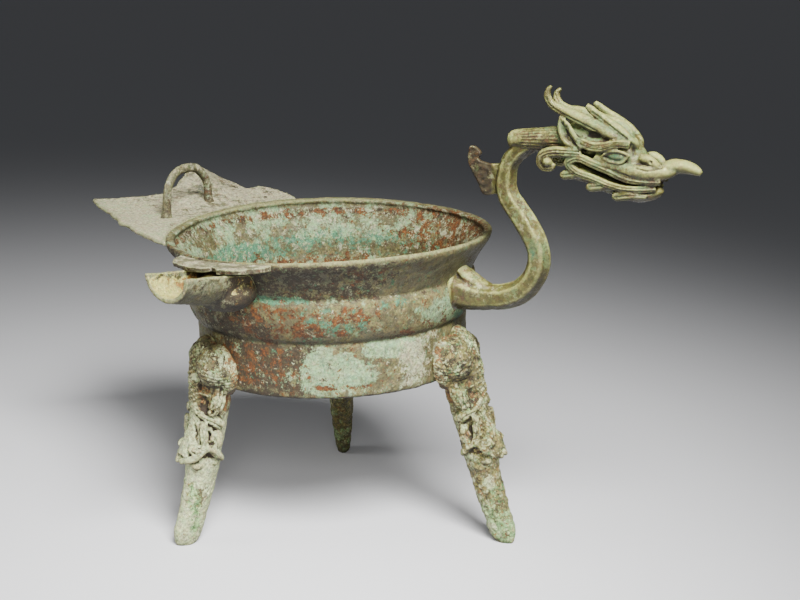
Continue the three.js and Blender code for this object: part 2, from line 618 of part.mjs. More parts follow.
// Dragon head. Stops are written as they lie on a head 120 long and 23 wide, measured forwards and
// up from the back end of the mane: [forwards, up, half-height, half-width] or
// [forwards, aside, up, half-height, half-width].
function dragonHead(x0, z0) {
  const long = HEAD_LENGTH / 120;
  const wide = HEAD_WIDTH / 23;
  const across = new THREE.Vector3(0, 1, 0);
  const middle = (stops, sections, sides) => sweepBar(stops.map(([x, z, high, half]) =>
    [x0 + x * long, 0, z0 + z * long, high * long, half * wide]), across, sections, sides);
  const lateral = (side, stops, sections, sides = 6) => sweepBar(stops.map(([x, y, z, high, half]) =>
    [x0 + x * long, side * y * wide, z0 + z * long, high * long, half * wide]), across, sections, sides);
  const bead = ([x, y, z], [deep, half, high], turnY, round, rows) => ball(
    [x0 + x * long, y * wide, z0 + z * long], [deep * long, half * wide, high * long], turnY, round, rows);
  const pieces = [];
  // Mane, skull with snout, crown ridge and lower jaw
  pieces.push(middle([
    [0, 0, 2.5, 2.5], [2, 0.2, 5, 5], [8, 0.4, 6.3, 6.3], [17, 0.8, 7.1, 7.1], [34, 2, 7.6, 7.8],
  ], 4, 9));
  pieces.push(middle([
    [29, 1.5, 8.3, 8.3], [41, 2, 10.4, 10], [53, 2.2, 11.2, 10.8], [64, 1.2, 11.4, 10.8],
    [73, -2.4, 10.6, 10.2], [79, -7.4, 8.6, 9.2], [84, -12, 6.2, 8.2], [90, -14.2, 4.9, 7.4],
    [97, -13.2, 4.3, 6.6], [103, -10.9, 3.8, 5.8], [109, -11, 3.1, 4.8], [114.7, -12.4, 2.4, 3.8],
    [118.8, -13.4, 1, 2],
  ], 13, 8));
  pieces.push(middle([
    [56, 15.6, 3.4, 4], [63, 13.2, 4.4, 5.4], [69, 11, 4.6, 5.8], [73.4, 7.4, 4.6, 5.8],
    [75.6, 3, 4.6, 5.6], [77.4, -1.6, 4.4, 5.4], [80, -5.6, 3, 5],
  ], 6, 6));
  pieces.push(middle([
    [40, -12, 5.5, 7], [44, -17, 5, 7.6], [52, -19.4, 4.6, 8], [63, -24, 4.8, 8.5],
    [73, -27, 4.4, 8.4], [83, -28.2, 4.2, 7.6], [90, -26.8, 3.4, 6.4], [94.5, -24.8, 1.6, 4],
  ], 7, 6));
  for (const side of [-1, 1]) {
    // Upper lip, round the corner of the mouth and out along the lower lip
    pieces.push(lateral(side, [
      [96, 6.4, -17.4, 2.2, 2], [86, 8.4, -17, 2.4, 2.2], [77, 9.4, -15.2, 2.4, 2.2],
      [62, 10.2, -9.2, 2.4, 2.2], [48, 10, -6, 2.4, 2.2], [41.8, 9.4, -10.4, 2.4, 2.2],
      [46, 9.2, -16, 2.3, 2.2], [59, 9.2, -20.2, 2.3, 2.2], [70, 9, -23.6, 2.3, 2.2],
      [83, 8, -24.2, 2.2, 2.1], [94, 5.2, -23.6, 1.8, 1.8],
    ], 12, 4));
    // Curled whisker behind the cheek
    pieces.push(lateral(side, [
      [50, 10.2, -3.6, 2.4, 2], [40.5, 10.2, -5, 2.8, 2.2], [31, 9.8, -5.8, 3, 2.4],
      [25.6, 9.4, -8.8, 3, 2.6], [26, 9.2, -12.8, 2.8, 2.6], [30, 9.2, -14, 2.6, 2.6],
    ], 6, 5));
    // Eyebrow ribbon, eyeball and ear
    pieces.push(lateral(side, [
      [50, 10.2, 2.5, 1.6, 1.6], [56, 11, 0, 2.6, 2], [63, 11.2, -1.2, 2.6, 2],
      [70, 11, 1, 2.1, 2], [75, 10.2, 1.8, 2, 2], [79, 8.2, 1.2, 2, 1.8],
    ], 5, 5));
    pieces.push(bead([72.5, side * 9.6, -4.6], [7, 2.6, 3], 8, 6, 4));
    pieces.push(lateral(side, [
      [37.8, 8.8, 15, 1.2, 1.2], [40.5, 9.8, 10, 3.6, 1.6], [44, 10.4, 4.5, 4.2, 1.8],
      [49, 10.4, -1.6, 2, 1.6],
    ], 3, 5));
    // Main horn and short tine; those on the left side have lost their tips
    const tip = side > 0 ? 0.91 : 1;
    pieces.push(lateral(side, [
      [28.6, 7.2, 33 * tip, 0.9, 0.9], [27.4, 7, 29 * tip, 2, 2], [30, 7, 24.6 * tip, 3, 2.8],
      [35, 7, 20.8 * tip, 3.2, 3], [42.4, 7, 17.7, 3.5, 3.1], [52, 6.9, 15, 3.8, 3.2],
      [62, 6.6, 12.6, 4, 3.4], [76, 6, 7, 4, 3.6],
    ], 8, 5));
    pieces.push(lateral(side, [
      [52.6, 6, 22.6, 1, 1], [55, 5.8, 21, 2.4, 2.2], [60.6, 5.4, 17.4, 2.8, 2.6], [70, 4.4, 12, 3.2, 3],
    ], 3, 5));
    // Beard tufts under the jaw, and the nostril bump
    for (const [x, z] of [[39, -19.6], [55, -25], [70.4, -29.4]]) {
      pieces.push(lateral(side, [
        [x, 7.6, z, 0.8, 0.8], [x + 5, 7.4, z + 0.8, 2.2, 1.8], [x + 10, 7.2, z + 1.4, 2.2, 1.8],
        [x + 15, 6.6, z + 1.2, 1, 1],
      ], 3, 4));
    }
    pieces.push(bead([89, side * 4.6, -10], [3.8, 2.6, 2.8], 20, 5, 4));
  }
  return pieces;
}

// Materials
const bronze = (color, roughness, metalness) =>
  new THREE.MeshStandardMaterial({ color, roughness, metalness });
const bowlBronze = bronze(0x6f6a54, 0.75, 0.35);
const plateBronze = bronze(0x8b8a72, 0.8, 0.3);
const legBronze = bronze(0x8f9079, 0.8, 0.3);
const handleBronze = bronze(0x7d7a52, 0.6, 0.5);

// Assembly: all but the legs is made on the bowl's own upright axis, then leans with it
const lean = new THREE.Group();
lean.quaternion.setFromAxisAngle(polar(1, LEAN_AZIMUTH + 90, 0), radians(LEAN_DEGREES));
lean.updateMatrix();
const legs = new THREE.Group();

function addPiece(group, name, solid, material) {
  const mesh = new THREE.Mesh(toGeometry(solid), material);
  mesh.name = name;
  group.add(mesh);
}

function floorBlock() {
  const wide = 4 * RIM_RADIUS;
  const block = new THREE.BoxGeometry(wide, wide, FLOOR_DEPTH);
  block.translate(0, 0, -FLOOR_DEPTH / 2);
  return toSolid(block);
}

const clearance = bowlClearance();
addPiece(lean, "bowl", makeBowl().subtract(spoutPassage()), bowlBronze);
addPiece(lean, "leaf_plate", makeLeafPlate().subtract(clearance), plateBronze);
addPiece(lean, "plate_loop", makeLoop(), plateBronze);
addPiece(lean, "spout_ledge", makeLedge().subtract(clearance), plateBronze);
addPiece(lean, "spout", makeSpout(clearance), plateBronze);
addPiece(lean, "dragon_handle", makeHandle(clearance), handleBronze);

const leaningClearance = toSolid(toGeometry(clearance).applyMatrix4(lean.matrix));
const floor = floorBlock();
const legNames = ["leg_under_handle", "leg_back", "leg_front"];
for (let i = 0; i < LEG_COUNT; i++) {
  const turn = 2 * Math.PI * i / LEG_COUNT;
  addPiece(legs, legNames[i], makeLeg(turn, leaningClearance, floor), legBronze);
}

// The origin is the middle of the outer box, on the floor
const ewer = new THREE.Group();
ewer.add(lean, legs);
ewer.updateMatrixWorld(true);
const box = new THREE.Box3().setFromObject(ewer, true);
const middle = box.getCenter(new THREE.Vector3()).setZ(box.min.z);
lean.position.sub(middle);
legs.position.sub(middle);

export default ewer;
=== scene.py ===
# %% [markdown]
# # A gilt-bronze tripod ewer
#
# A hollow round bowl stands on three cast legs, each a beast that climbs head down. It has an open
# spout, a torn leaf-shaped plate with a loop on its rim, and a long curved handle that ends in a
# dragon's head. The metal has been buried, so it is brown and olive bronze under green, blue,
# rust-orange and chalky crusts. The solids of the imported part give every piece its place. This
# script makes each casting again with finer carving and an uneven, corroded skin.

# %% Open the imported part
from itertools import product
from math import cos, pi, radians, sin

import bpy
import numpy as np
from mathutils import Matrix, Vector


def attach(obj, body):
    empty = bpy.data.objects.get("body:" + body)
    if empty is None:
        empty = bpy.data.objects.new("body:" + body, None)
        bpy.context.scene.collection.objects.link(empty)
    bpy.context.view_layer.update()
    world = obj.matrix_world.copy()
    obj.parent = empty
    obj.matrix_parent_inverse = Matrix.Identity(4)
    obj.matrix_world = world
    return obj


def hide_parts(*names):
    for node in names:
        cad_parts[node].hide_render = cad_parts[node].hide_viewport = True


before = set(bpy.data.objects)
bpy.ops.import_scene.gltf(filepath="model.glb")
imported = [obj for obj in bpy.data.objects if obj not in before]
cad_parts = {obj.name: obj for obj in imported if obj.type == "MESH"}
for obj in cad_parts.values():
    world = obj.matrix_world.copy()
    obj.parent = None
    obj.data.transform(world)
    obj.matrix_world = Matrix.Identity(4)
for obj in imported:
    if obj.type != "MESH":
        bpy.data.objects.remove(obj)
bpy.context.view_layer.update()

# %% [markdown]
# Sizes are in millimetres and are turned into metres when a mesh is made. The bowl and what is
# fixed to it were drawn upright on the bowl's own axis and then lean by two degrees, so the same
# turn is used here. Where that axis meets the floor is read from the lowest ring of the bowl's
# solid, so that nothing has to be fitted by eye.

# %% Lean and place of the bowl
MM = 0.001
LEAN = radians(2.1)
LEAN_TOWARDS = radians(210)
BASE_HEIGHT = 105
RIM_HEIGHT = 193.3
RIM_RADIUS = 105
RIM_WARP = 1.6
RIM_WARP_TOWARDS = radians(140)
BELLY_HEIGHT = 157

lean_axis = Vector((cos(LEAN_TOWARDS + pi / 2), sin(LEAN_TOWARDS + pi / 2), 0))
lean_turn = np.array(Matrix.Rotation(LEAN, 3, lean_axis))


def node_points(name):
    """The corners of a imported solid, in millimetres."""
    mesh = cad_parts[name].data
    flat = np.empty(3 * len(mesh.vertices))
    mesh.vertices.foreach_get("co", flat)
    return flat.reshape(-1, 3) / MM


upright = node_points("bowl") @ lean_turn
lowest_ring = upright[upright[:, 2] < upright[:, 2].min() + 0.2]
axis_foot = lowest_ring.mean(axis=0) - (0, 0, BASE_HEIGHT)
axis_shift = lean_turn @ axis_foot
print("the bowl's axis meets the floor at", axis_shift.round(2), "mm")


def leaning(points):
    """Upright millimetres on the bowl's axis, turned by the lean and moved to the row frame."""
    return points @ lean_turn.T + axis_shift


# %% [markdown]
# The camera stands where the photographer's did: about a metre away, a little above the rim, with
# the handle to the right and the spout towards it on the left. The key light comes from the right
# and above and is kept to a cone, so that the floor grows darker towards the back. A low light
# brightens the floor in front, and a weak one opens the shadows on the left.

# %% Camera, light and floor
CAMERA_PLACE = (0.48114, -0.85987, 0.40010)
CAMERA_YAW = radians(117.345)
CAMERA_PITCH = radians(-14.061)
CAMERA_ROLL = radians(0.640)
CAMERA_LENS = 71.935
CAMERA_SENSOR = 36
CAMERA_SIGHT = 100
# Name, place and size in metres, watts, target, spread in degrees
LIGHTS = [
    ("key light", (0.56, -0.58, 0.98), 0.5, 4.7, (0.05, -0.13, 0.16), 52),
    ("floor light", (0.4, -0.72, 0.45), 0.3, 2.4, (0.18, -0.46, 0), 100),
    ("side light", (-0.7, -0.5, 0.6), 0.4, 0.4, (0, 0, 0.15), 80)]
AIR_COLOUR = (0.62, 0.64, 0.68, 1)
AIR_BRIGHTNESS = 0.09
FLOOR_COLOUR = (0.78, 0.78, 0.79, 1)
FLOOR_ROUGHNESS = 0.9
FLOOR_HALF = 12

camera = bpy.data.objects.new("camera", bpy.data.cameras.new("camera"))
camera.data.lens = CAMERA_LENS
camera.data.sensor_width = CAMERA_SENSOR
camera.data.clip_end = CAMERA_SIGHT
bpy.context.collection.objects.link(camera)
ahead = Vector((cos(CAMERA_PITCH) * cos(CAMERA_YAW), cos(CAMERA_PITCH) * sin(CAMERA_YAW),
                sin(CAMERA_PITCH)))
level = Vector((sin(CAMERA_YAW), -cos(CAMERA_YAW), 0))
upward = level.cross(ahead)
right = level * cos(CAMERA_ROLL) + upward * sin(CAMERA_ROLL)
camera_turn = Matrix((right, right.cross(ahead), -ahead)).transposed()
camera.matrix_world = Matrix.Translation(CAMERA_PLACE) @ camera_turn.to_4x4()
bpy.context.scene.camera = camera


def softbox(name, place, size, power, target, spread):
    """A square lamp of that size in metres, turned to shine on the target, with its light kept
    within that many degrees."""
    lamp = bpy.data.objects.new(name, bpy.data.lights.new(name, "AREA"))
    lamp.data.size = size
    lamp.data.energy = power
    lamp.data.spread = radians(spread)
    lamp.location = place
    lamp.rotation_euler = (Vector(target) - Vector(place)).to_track_quat("-Z", "Y").to_euler()
    bpy.context.collection.objects.link(lamp)


for light in LIGHTS:
    softbox(*light)

world = bpy.data.worlds.new("studio air")
world.use_nodes = True
world.node_tree.nodes["Background"].inputs["Color"].default_value = AIR_COLOUR
world.node_tree.nodes["Background"].inputs["Strength"].default_value = AIR_BRIGHTNESS
bpy.context.scene.world = world

floor_corners = [(-FLOOR_HALF, -FLOOR_HALF, 0), (FLOOR_HALF, -FLOOR_HALF, 0),
                 (FLOOR_HALF, FLOOR_HALF, 0), (-FLOOR_HALF, FLOOR_HALF, 0)]
floor_mesh = bpy.data.meshes.new("floor")
floor_mesh.from_pydata(floor_corners, [], [(0, 1, 2, 3)])
floor = bpy.data.objects.new("floor", floor_mesh)
bpy.context.collection.objects.link(floor)
floor_paint = bpy.data.materials.new("pale floor")
floor_paint.use_nodes = True
floor_paint.node_tree.nodes["Principled BSDF"].inputs["Base Color"].default_value = FLOOR_COLOUR
floor_paint.node_tree.nodes["Principled BSDF"].inputs["Roughness"].default_value = FLOOR_ROUGHNESS
floor_mesh.materials.append(floor_paint)
print("a camera,", len(LIGHTS), "lamps and a floor")

# %% [markdown]
# Most of the carving is built from bars and balls that overlap, as a founder builds a model from
# rolls of wax. A bar is a ring of points carried along a smooth path. Its rings are worked out all
# at once, as one array. The wax is then fused: a voxel remesh joins the overlapping shells into
# one skin of small even squares, and a little smoothing rounds the joins.


# %% Paths, bars and balls
def smooth_path(points, count):
    """A smooth line through the points: between two of them a cubic whose slopes at both ends
    come from the neighbours, weighted by the square root of the distances (Catmull-Rom)."""
    points = np.asarray(points, float)
    p = np.vstack([2 * points[0] - points[1], points, 2 * points[-1] - points[-2]])
    gap = np.maximum(np.linalg.norm(np.diff(p, axis=0), axis=1) ** 0.5, 1e-3)[:, None]
    t = np.linspace(0, len(points) - 1, count)
    k = np.minimum(t.astype(int), len(points) - 2)
    s = (t - k)[:, None]
    p0, p1, p2, p3 = p[k], p[k + 1], p[k + 2], p[k + 3]
    g0, g1, g2 = gap[k], gap[k + 1], gap[k + 2]
    m1 = ((p1 - p0) / g0 - (p2 - p0) / (g0 + g1) + (p2 - p1) / g1) * g1
    m2 = ((p2 - p1) / g1 - (p3 - p1) / (g1 + g2) + (p3 - p2) / g2) * g1
    return p1 + m1 * s + (3 * (p2 - p1) - 2 * m1 - m2) * s ** 2 + (2 * (p1 - p2) + m1 + m2) * s ** 3


def skin(rings):
    """Closed rings, as an array of rings, points and places, joined by squares and fanned shut."""
    count, around = rings.shape[:2]
    here = np.arange(around)
    after = (here + 1) % around
    row = np.arange(count - 1)[:, None] * around
    squares = np.stack([row + here, row + after, row + after + around, row + here + around], -1)
    tips = count * around + np.arange(2)
    last = (count - 1) * around
    first_fan = np.stack([np.full(around, tips[0]), after, here], -1)
    last_fan = np.stack([np.full(around, tips[1]), here + last, after + last], -1)
    places = np.vstack([rings.reshape(-1, 3), rings[0].mean(0), rings[-1].mean(0)])
    return places, [*squares.reshape(-1, 4).tolist(), *first_fan.tolist(), *last_fan.tolist()]


def bar(stops, across=(0, 1, 0), sections=48, sides=20, facets=0, lift=0, share=1):
    """A closed bar along stops of (x, y, z, half-height, half-width). Each ring is an ellipse, or,
    with facets, a soft-cornered polygon: the radius at an angle is one over the p-norm of the
    distances to the flat sides. lift moves the bar by that share of its half-height and share
    scales the half-height, which lays strands beside each other."""
    stops = np.asarray(stops, float)
    centre = smooth_path(stops[:, :3], sections)
    along = np.linspace(0, len(stops) - 1, sections)
    high = np.interp(along, np.arange(len(stops)), stops[:, 3])[:, None]
    wide = np.interp(along, np.arange(len(stops)), stops[:, 4])[:, None]
    ahead = np.gradient(centre, axis=0)
    ahead /= np.linalg.norm(ahead, axis=1, keepdims=True)
    up = np.cross(across, ahead)
    up /= np.linalg.norm(up, axis=1, keepdims=True)
    side = np.cross(ahead, up)
    angle = (np.arange(sides) + 0.5) / sides * 2 * pi
    reach = np.ones(sides)
    if facets:
        flats = np.arange(facets) / facets * 2 * pi
        nearness = np.maximum(np.cos(angle[:, None] - flats), 0)
        reach = (nearness ** 28).sum(1) ** (-1 / 28)
    centre = centre + up * high * lift
    rings = (centre[:, None]
             + side[:, None] * (wide * np.cos(angle) * reach)[..., None]
             + up[:, None] * (high * share * np.sin(angle) * reach)[..., None])
    return skin(rings)


def strands(stops, count, across=(0, 1, 0), sections=48, sides=10):
    """A ribbon of that many thin bars laid side by side along the same stops."""
    lifts = (np.arange(count) - (count - 1) / 2) * 2 / count
    return [bar(stops, across, sections, sides, lift=lift, share=1.25 / count) for lift in lifts]


def ball(centre, radii, turn=0, steps=18):
    """An ellipsoid: rings of radius sin(a) at height cos(a), stretched and turned about y."""
    rise = np.linspace(0.04, pi - 0.04, steps)
    round_ = np.arange(2 * steps) / steps * pi
    rings = np.stack([np.outer(np.sin(rise), np.cos(round_)), np.outer(np.sin(rise), np.sin(round_)),
                      np.outer(np.cos(rise), np.ones(2 * steps))], -1) * radii
    c, s = cos(radians(turn)), sin(radians(turn))
    rings = rings @ np.array([[c, 0, -s], [0, 1, 0], [s, 0, c]])
    return skin(rings + np.asarray(centre, float))


def mirrored(shell):
    """The same shell on the other side of the middle plane, with its faces turned back out."""
    places, faces = shell
    return places * (1, -1, 1), [face[::-1] for face in faces]


def groove(across, up, lines, width):
    """1 on drawn lines and 0 from that width on: each point's distance to the nearest stretch
    of line, where a line is a smooth path through flat stops."""
    near = np.full(len(across), width)
    for line in lines:
        path = smooth_path(line, 6 * len(line))
        for (a, b), (c, d) in zip(path[:-1], path[1:]):
            run = (c - a) ** 2 + (d - b) ** 2 + 1e-9
            t = np.clip(((across - a) * (c - a) + (up - b) * (d - b)) / run, 0, 1)
            near = np.minimum(near, np.hypot(across - a - t * (c - a), up - b - t * (d - b)))
    t = near / width
    return (1 - t * t) ** 2


def beside(line, shift):
    """The same flat line, moved sideways by that many millimetres."""
    path = smooth_path(line, 4 * len(line))
    ahead = np.gradient(path, axis=0)
    ahead /= np.linalg.norm(ahead, axis=1, keepdims=True)
    return path + shift * ahead[:, ::-1] * (-1, 1)


print("path, bar, strands, ball and groove are ready")

# %% [markdown]
# An old casting is never smooth. The skin is moved in and out by lumps of several sizes. A lump
# field is worked out with numpy for all points at once: every corner of a cubic lattice has a
# fixed random value, made by mixing up its whole-number address, and points between the corners
# take a soft blend of the eight around them.


# %% Random lumps, neighbours and hollows
def lumps(points, size, seed=0):
    """Smooth random values from -1 to 1 that change over about that many millimetres."""
    scaled = points / size + seed * 7.31
    cell = np.floor(scaled).astype(np.int64)
    part = scaled - cell
    part = part * part * (3 - 2 * part)
    total = np.zeros(len(points))
    for corner in product((0, 1), repeat=3):
        x, y, z = (cell + corner).T
        mixed = (x * 374761393 + y * 668265263 + z * 1440662683 + seed * 97531) & 0xFFFFFFFF
        mixed = ((mixed ^ (mixed >> 13)) * 1274126177) & 0xFFFFFFFF
        mixed ^= mixed >> 16
        weight = np.prod(np.where(corner, part, 1 - part), axis=1)
        total += weight * (mixed / 2 ** 31 - 1)
    return total


def crust(points, size, octaves=4, seed=0):
    """Lumps of that size plus finer ones, each half as large and half as strong."""
    return sum(lumps(points, size / 2 ** k, seed + k) / 2 ** k for k in range(octaves))


def soft_step(value, low, high):
    """0 below low, 1 above high, and 3t^2 - 2t^3 between them."""
    t = np.clip((value - low) / (high - low), 0, 1)
    return t * t * (3 - 2 * t)


def mesh_arrays(mesh):
    """Places, normals and edges of a Blender mesh, as arrays."""
    count = len(mesh.vertices)
    places, normals = np.empty(3 * count), np.empty(3 * count, np.float32)
    mesh.vertices.foreach_get("co", places)
    mesh.vertex_normals.foreach_get("vector", normals)
    edges = np.empty(2 * len(mesh.edges), np.int32)
    mesh.edges.foreach_get("vertices", edges)
    return places.reshape(-1, 3), normals.reshape(-1, 3).astype(float), edges.reshape(-1, 2)


def neighbour_mean(values, edges):
    """For every point, the mean of the values at the other ends of its edges."""
    count = len(values)
    start, end = np.r_[edges[:, 0], edges[:, 1]], np.r_[edges[:, 1], edges[:, 0]]
    known = np.maximum(np.bincount(start, minlength=count), 1)
    return np.stack([np.bincount(start, column[end], count) for column in values.T], -1) / known[:, None]


def smoothed(places, edges, times):
    """Each point moves halfway to its neighbours' mean and then slightly more than that back,
    which rounds small bumps and keeps the size."""
    for _ in range(times):
        for step in (0.5, -0.52):
            places = places + step * (neighbour_mean(places, edges) - places)
    return places


def bulge(places, normals, edges, reach):
    """How far each point stands out of its surroundings, in millimetres: above 0 on ridges and
    below 0 in hollows. The surroundings are the neighbours' mean, taken that many times over."""
    around = places
    for _ in range(reach):
        around = neighbour_mean(around, edges)
    return ((places - around) * normals).sum(1)


def new_mesh(name, shells):
    """One mesh of several shells, in millimetres."""
    places, faces, used = [], [], 0
    for shell_places, shell_faces in shells:
        places.append(shell_places)
        faces += [[corner + used for corner in face] for face in shell_faces]
        used += len(shell_places)
    mesh = bpy.data.meshes.new(name)
    mesh.from_pydata(np.vstack(places), [], faces)
    return mesh


def with_modifier(mesh, kind, **settings):
    """The mesh after one modifier."""
    worker = bpy.data.objects.new("worker", mesh)
    bpy.context.collection.objects.link(worker)
    modifier = worker.modifiers.new(kind, kind)
    for key, value in settings.items():
        setattr(modifier, key, value)
    seen = worker.evaluated_get(bpy.context.evaluated_depsgraph_get())
    made = bpy.data.meshes.new_from_object(seen)
    bpy.data.objects.remove(worker)
    return made


def fused(name, shells, voxel, rounding):
    """Overlapping shells as one smooth skin."""
    mesh = with_modifier(new_mesh(name, shells), "REMESH", mode="VOXEL", voxel_size=voxel)
    places, _, edges = mesh_arrays(mesh)
    mesh.vertices.foreach_set("co", smoothed(places, edges, rounding).ravel())
    mesh.update()
    return mesh


print("lump field and mesh tools are ready")

# %% [markdown]
# The patina is painted in layers, as it grew: bare metal first, then each crust over it. The
# places of the crusts are worked out per point and stored in the mesh as named values. A shader
# group breaks the edge of each layer with noise, so that a crust ends in crumbs and not in a line.
# Colours are written as they look on screen, from 0 to 255, and turned into light values.


# %% Colour layers
def ink(red, green, blue):
    """A colour as it looks on screen, turned into linear light."""
    shares = np.array([red, green, blue]) / 255
    linear = np.where(shares > 0.04045, ((shares + 0.055) / 1.055) ** 2.4, shares / 12.92)
    return (*linear.tolist(), 1)


def group_with(name, inputs, outputs):
    """An empty shader group with these named sockets, and its two ends."""
    tree = bpy.data.node_groups.new(name, "ShaderNodeTree")
    for direction, sockets in (("INPUT", inputs), ("OUTPUT", outputs)):
        for label, kind in sockets:
            tree.interface.new_socket(label, in_out=direction, socket_type="NodeSocket" + kind)
    return tree, tree.nodes.new("NodeGroupInput"), tree.nodes.new("NodeGroupOutput")


def add_node(tree, kind, links=(), **settings):
    """A new node with its settings, and its inputs linked or set."""
    node = tree.nodes.new("ShaderNode" + kind)
    for key, value in settings.items():
        setattr(node, key, value)
    for key, value in dict(links).items():
        if isinstance(value, bpy.types.NodeSocket):
            tree.links.new(value, node.inputs[key])
        else:
            node.inputs[key].default_value = value
    return node


def make_crumb_group():
    """Mask 0 to 1 from an amount and two noises, a coarse and a fine one: 1 where the amount plus
    spread times each noise less 0.5 is over 0.5."""
    sockets = [("Amount", "Float"), ("Scale", "Float"), ("Spread", "Float"), ("Softness", "Float")]
    tree, start, end = group_with("crumbling edge", sockets, [("Mask", "Float")])
    place = add_node(tree, "TexCoord")
    wide = start.outputs["Amount"]
    for finer, shift, weight in ((1.0, 0.0, 1.0), (4.3, 0.37, 0.6)):
        scale = add_node(tree, "Math", {0: start.outputs["Scale"], 1: finer}, operation="MULTIPLY")
        moved = add_node(tree, "VectorMath", {0: place.outputs["Object"], 1: (shift, shift, shift)},
                         operation="ADD")
        cloud = add_node(tree, "TexNoise", {"Vector": moved.outputs[0], "Scale": scale.outputs[0],
                                            "Detail": 5.0, "Roughness": 0.7})
        centred = add_node(tree, "Math", {0: cloud.outputs["Fac"], 1: 0.5}, operation="SUBTRACT")
        swing = add_node(tree, "Math", {0: start.outputs["Spread"], 1: weight}, operation="MULTIPLY")
        wide = add_node(tree, "Math", {0: centred.outputs[0], 1: swing.outputs[0], 2: wide},
                        operation="MULTIPLY_ADD").outputs[0]
    low = add_node(tree, "Math", {0: 0.5, 1: start.outputs["Softness"]}, operation="SUBTRACT")
    high = add_node(tree, "Math", {0: 0.5, 1: start.outputs["Softness"]}, operation="ADD")
    edge = add_node(tree, "MapRange", {"Value": wide, "From Min": low.outputs[0],
                                       "From Max": high.outputs[0]}, interpolation_type="SMOOTHSTEP")
    tree.links.new(edge.outputs["Result"], end.inputs["Mask"])
    return tree


crumb_group = make_crumb_group()


def make_mottle_group():
    """Two colours mixed by one noise, whose middle values are spread apart."""
    tree, start, end = group_with(
        "mottled colour", [("First", "Color"), ("Second", "Color"), ("Scale", "Float")],
        [("Color", "Color")])
    place = add_node(tree, "TexCoord")
    cloud = add_node(tree, "TexNoise", {"Vector": place.outputs["Object"], "Scale": start.outputs["Scale"],
                                        "Detail": 9.0, "Roughness": 0.75})
    contrast = add_node(tree, "MapRange", {"Value": cloud.outputs["Fac"], "From Min": 0.36,
                                           "From Max": 0.64})
    mixed = add_node(tree, "Mix", {"Factor": contrast.outputs["Result"], "A": start.outputs["First"],
                                   "B": start.outputs["Second"]}, data_type="RGBA")
    tree.links.new(mixed.outputs["Result"], end.inputs["Color"])
    return tree


mottle_group = make_mottle_group()


def blotches(tree, pair, scale):
    """Two colours in blotches."""
    links = {"First": pair[0], "Second": pair[1], "Scale": scale}
    return add_node(tree, "Group", links, node_tree=mottle_group).outputs[0]


def crumbled(tree, amount, scale, spread, softness):
    """A mask with a crumbling edge, from an amount at each point."""
    links = {"Amount": amount, "Scale": scale, "Spread": spread, "Softness": softness}
    return add_node(tree, "Group", links, node_tree=crumb_group).outputs[0]


def blend(tree, share, below, above, **how):
    """The colour below with that share of the colour above laid over it."""
    mixed = add_node(tree, "Mix", {"Factor": share, "A": below, "B": above}, data_type="RGBA", **how)
    return mixed.outputs["Result"]


def noise(tree, place, scale, detail, roughness):
    """A noise texture that stays with the piece."""
    return add_node(tree, "TexNoise", {"Vector": place, "Scale": scale, "Detail": detail,
                                       "Roughness": roughness})


def sum_of(tree, *terms):
    """A chain of multiply-add nodes: the sum of socket times weight."""
    total = 0.0
    for socket, weight in terms:
        total = add_node(tree, "Math", {0: socket, 1: weight, 2: total}, operation="MULTIPLY_ADD").outputs[0]
    return total


# The last film over metal and crusts filters the light
GREEN_GLASS = (0.74, 0.76, 0.56, 1)
# The colour that darkens faces turned down, as painted shade
UNDERSIDE_SHADE = ink(104, 98, 88)
# Brown of the dirt and the painted shade in hollows
DIRT_AND_SHADE = ink(58, 44, 32)
METAL_SCALE = 90.0
WORN_SCALE = 150.0
BLOTCHES_PER_CRUMB = 2.3
CRUMB_SOFTNESS = 0.12
TINT_SHARE = 0.45
METALLIC = 0.12
PIT_DEPTH = 0.0008


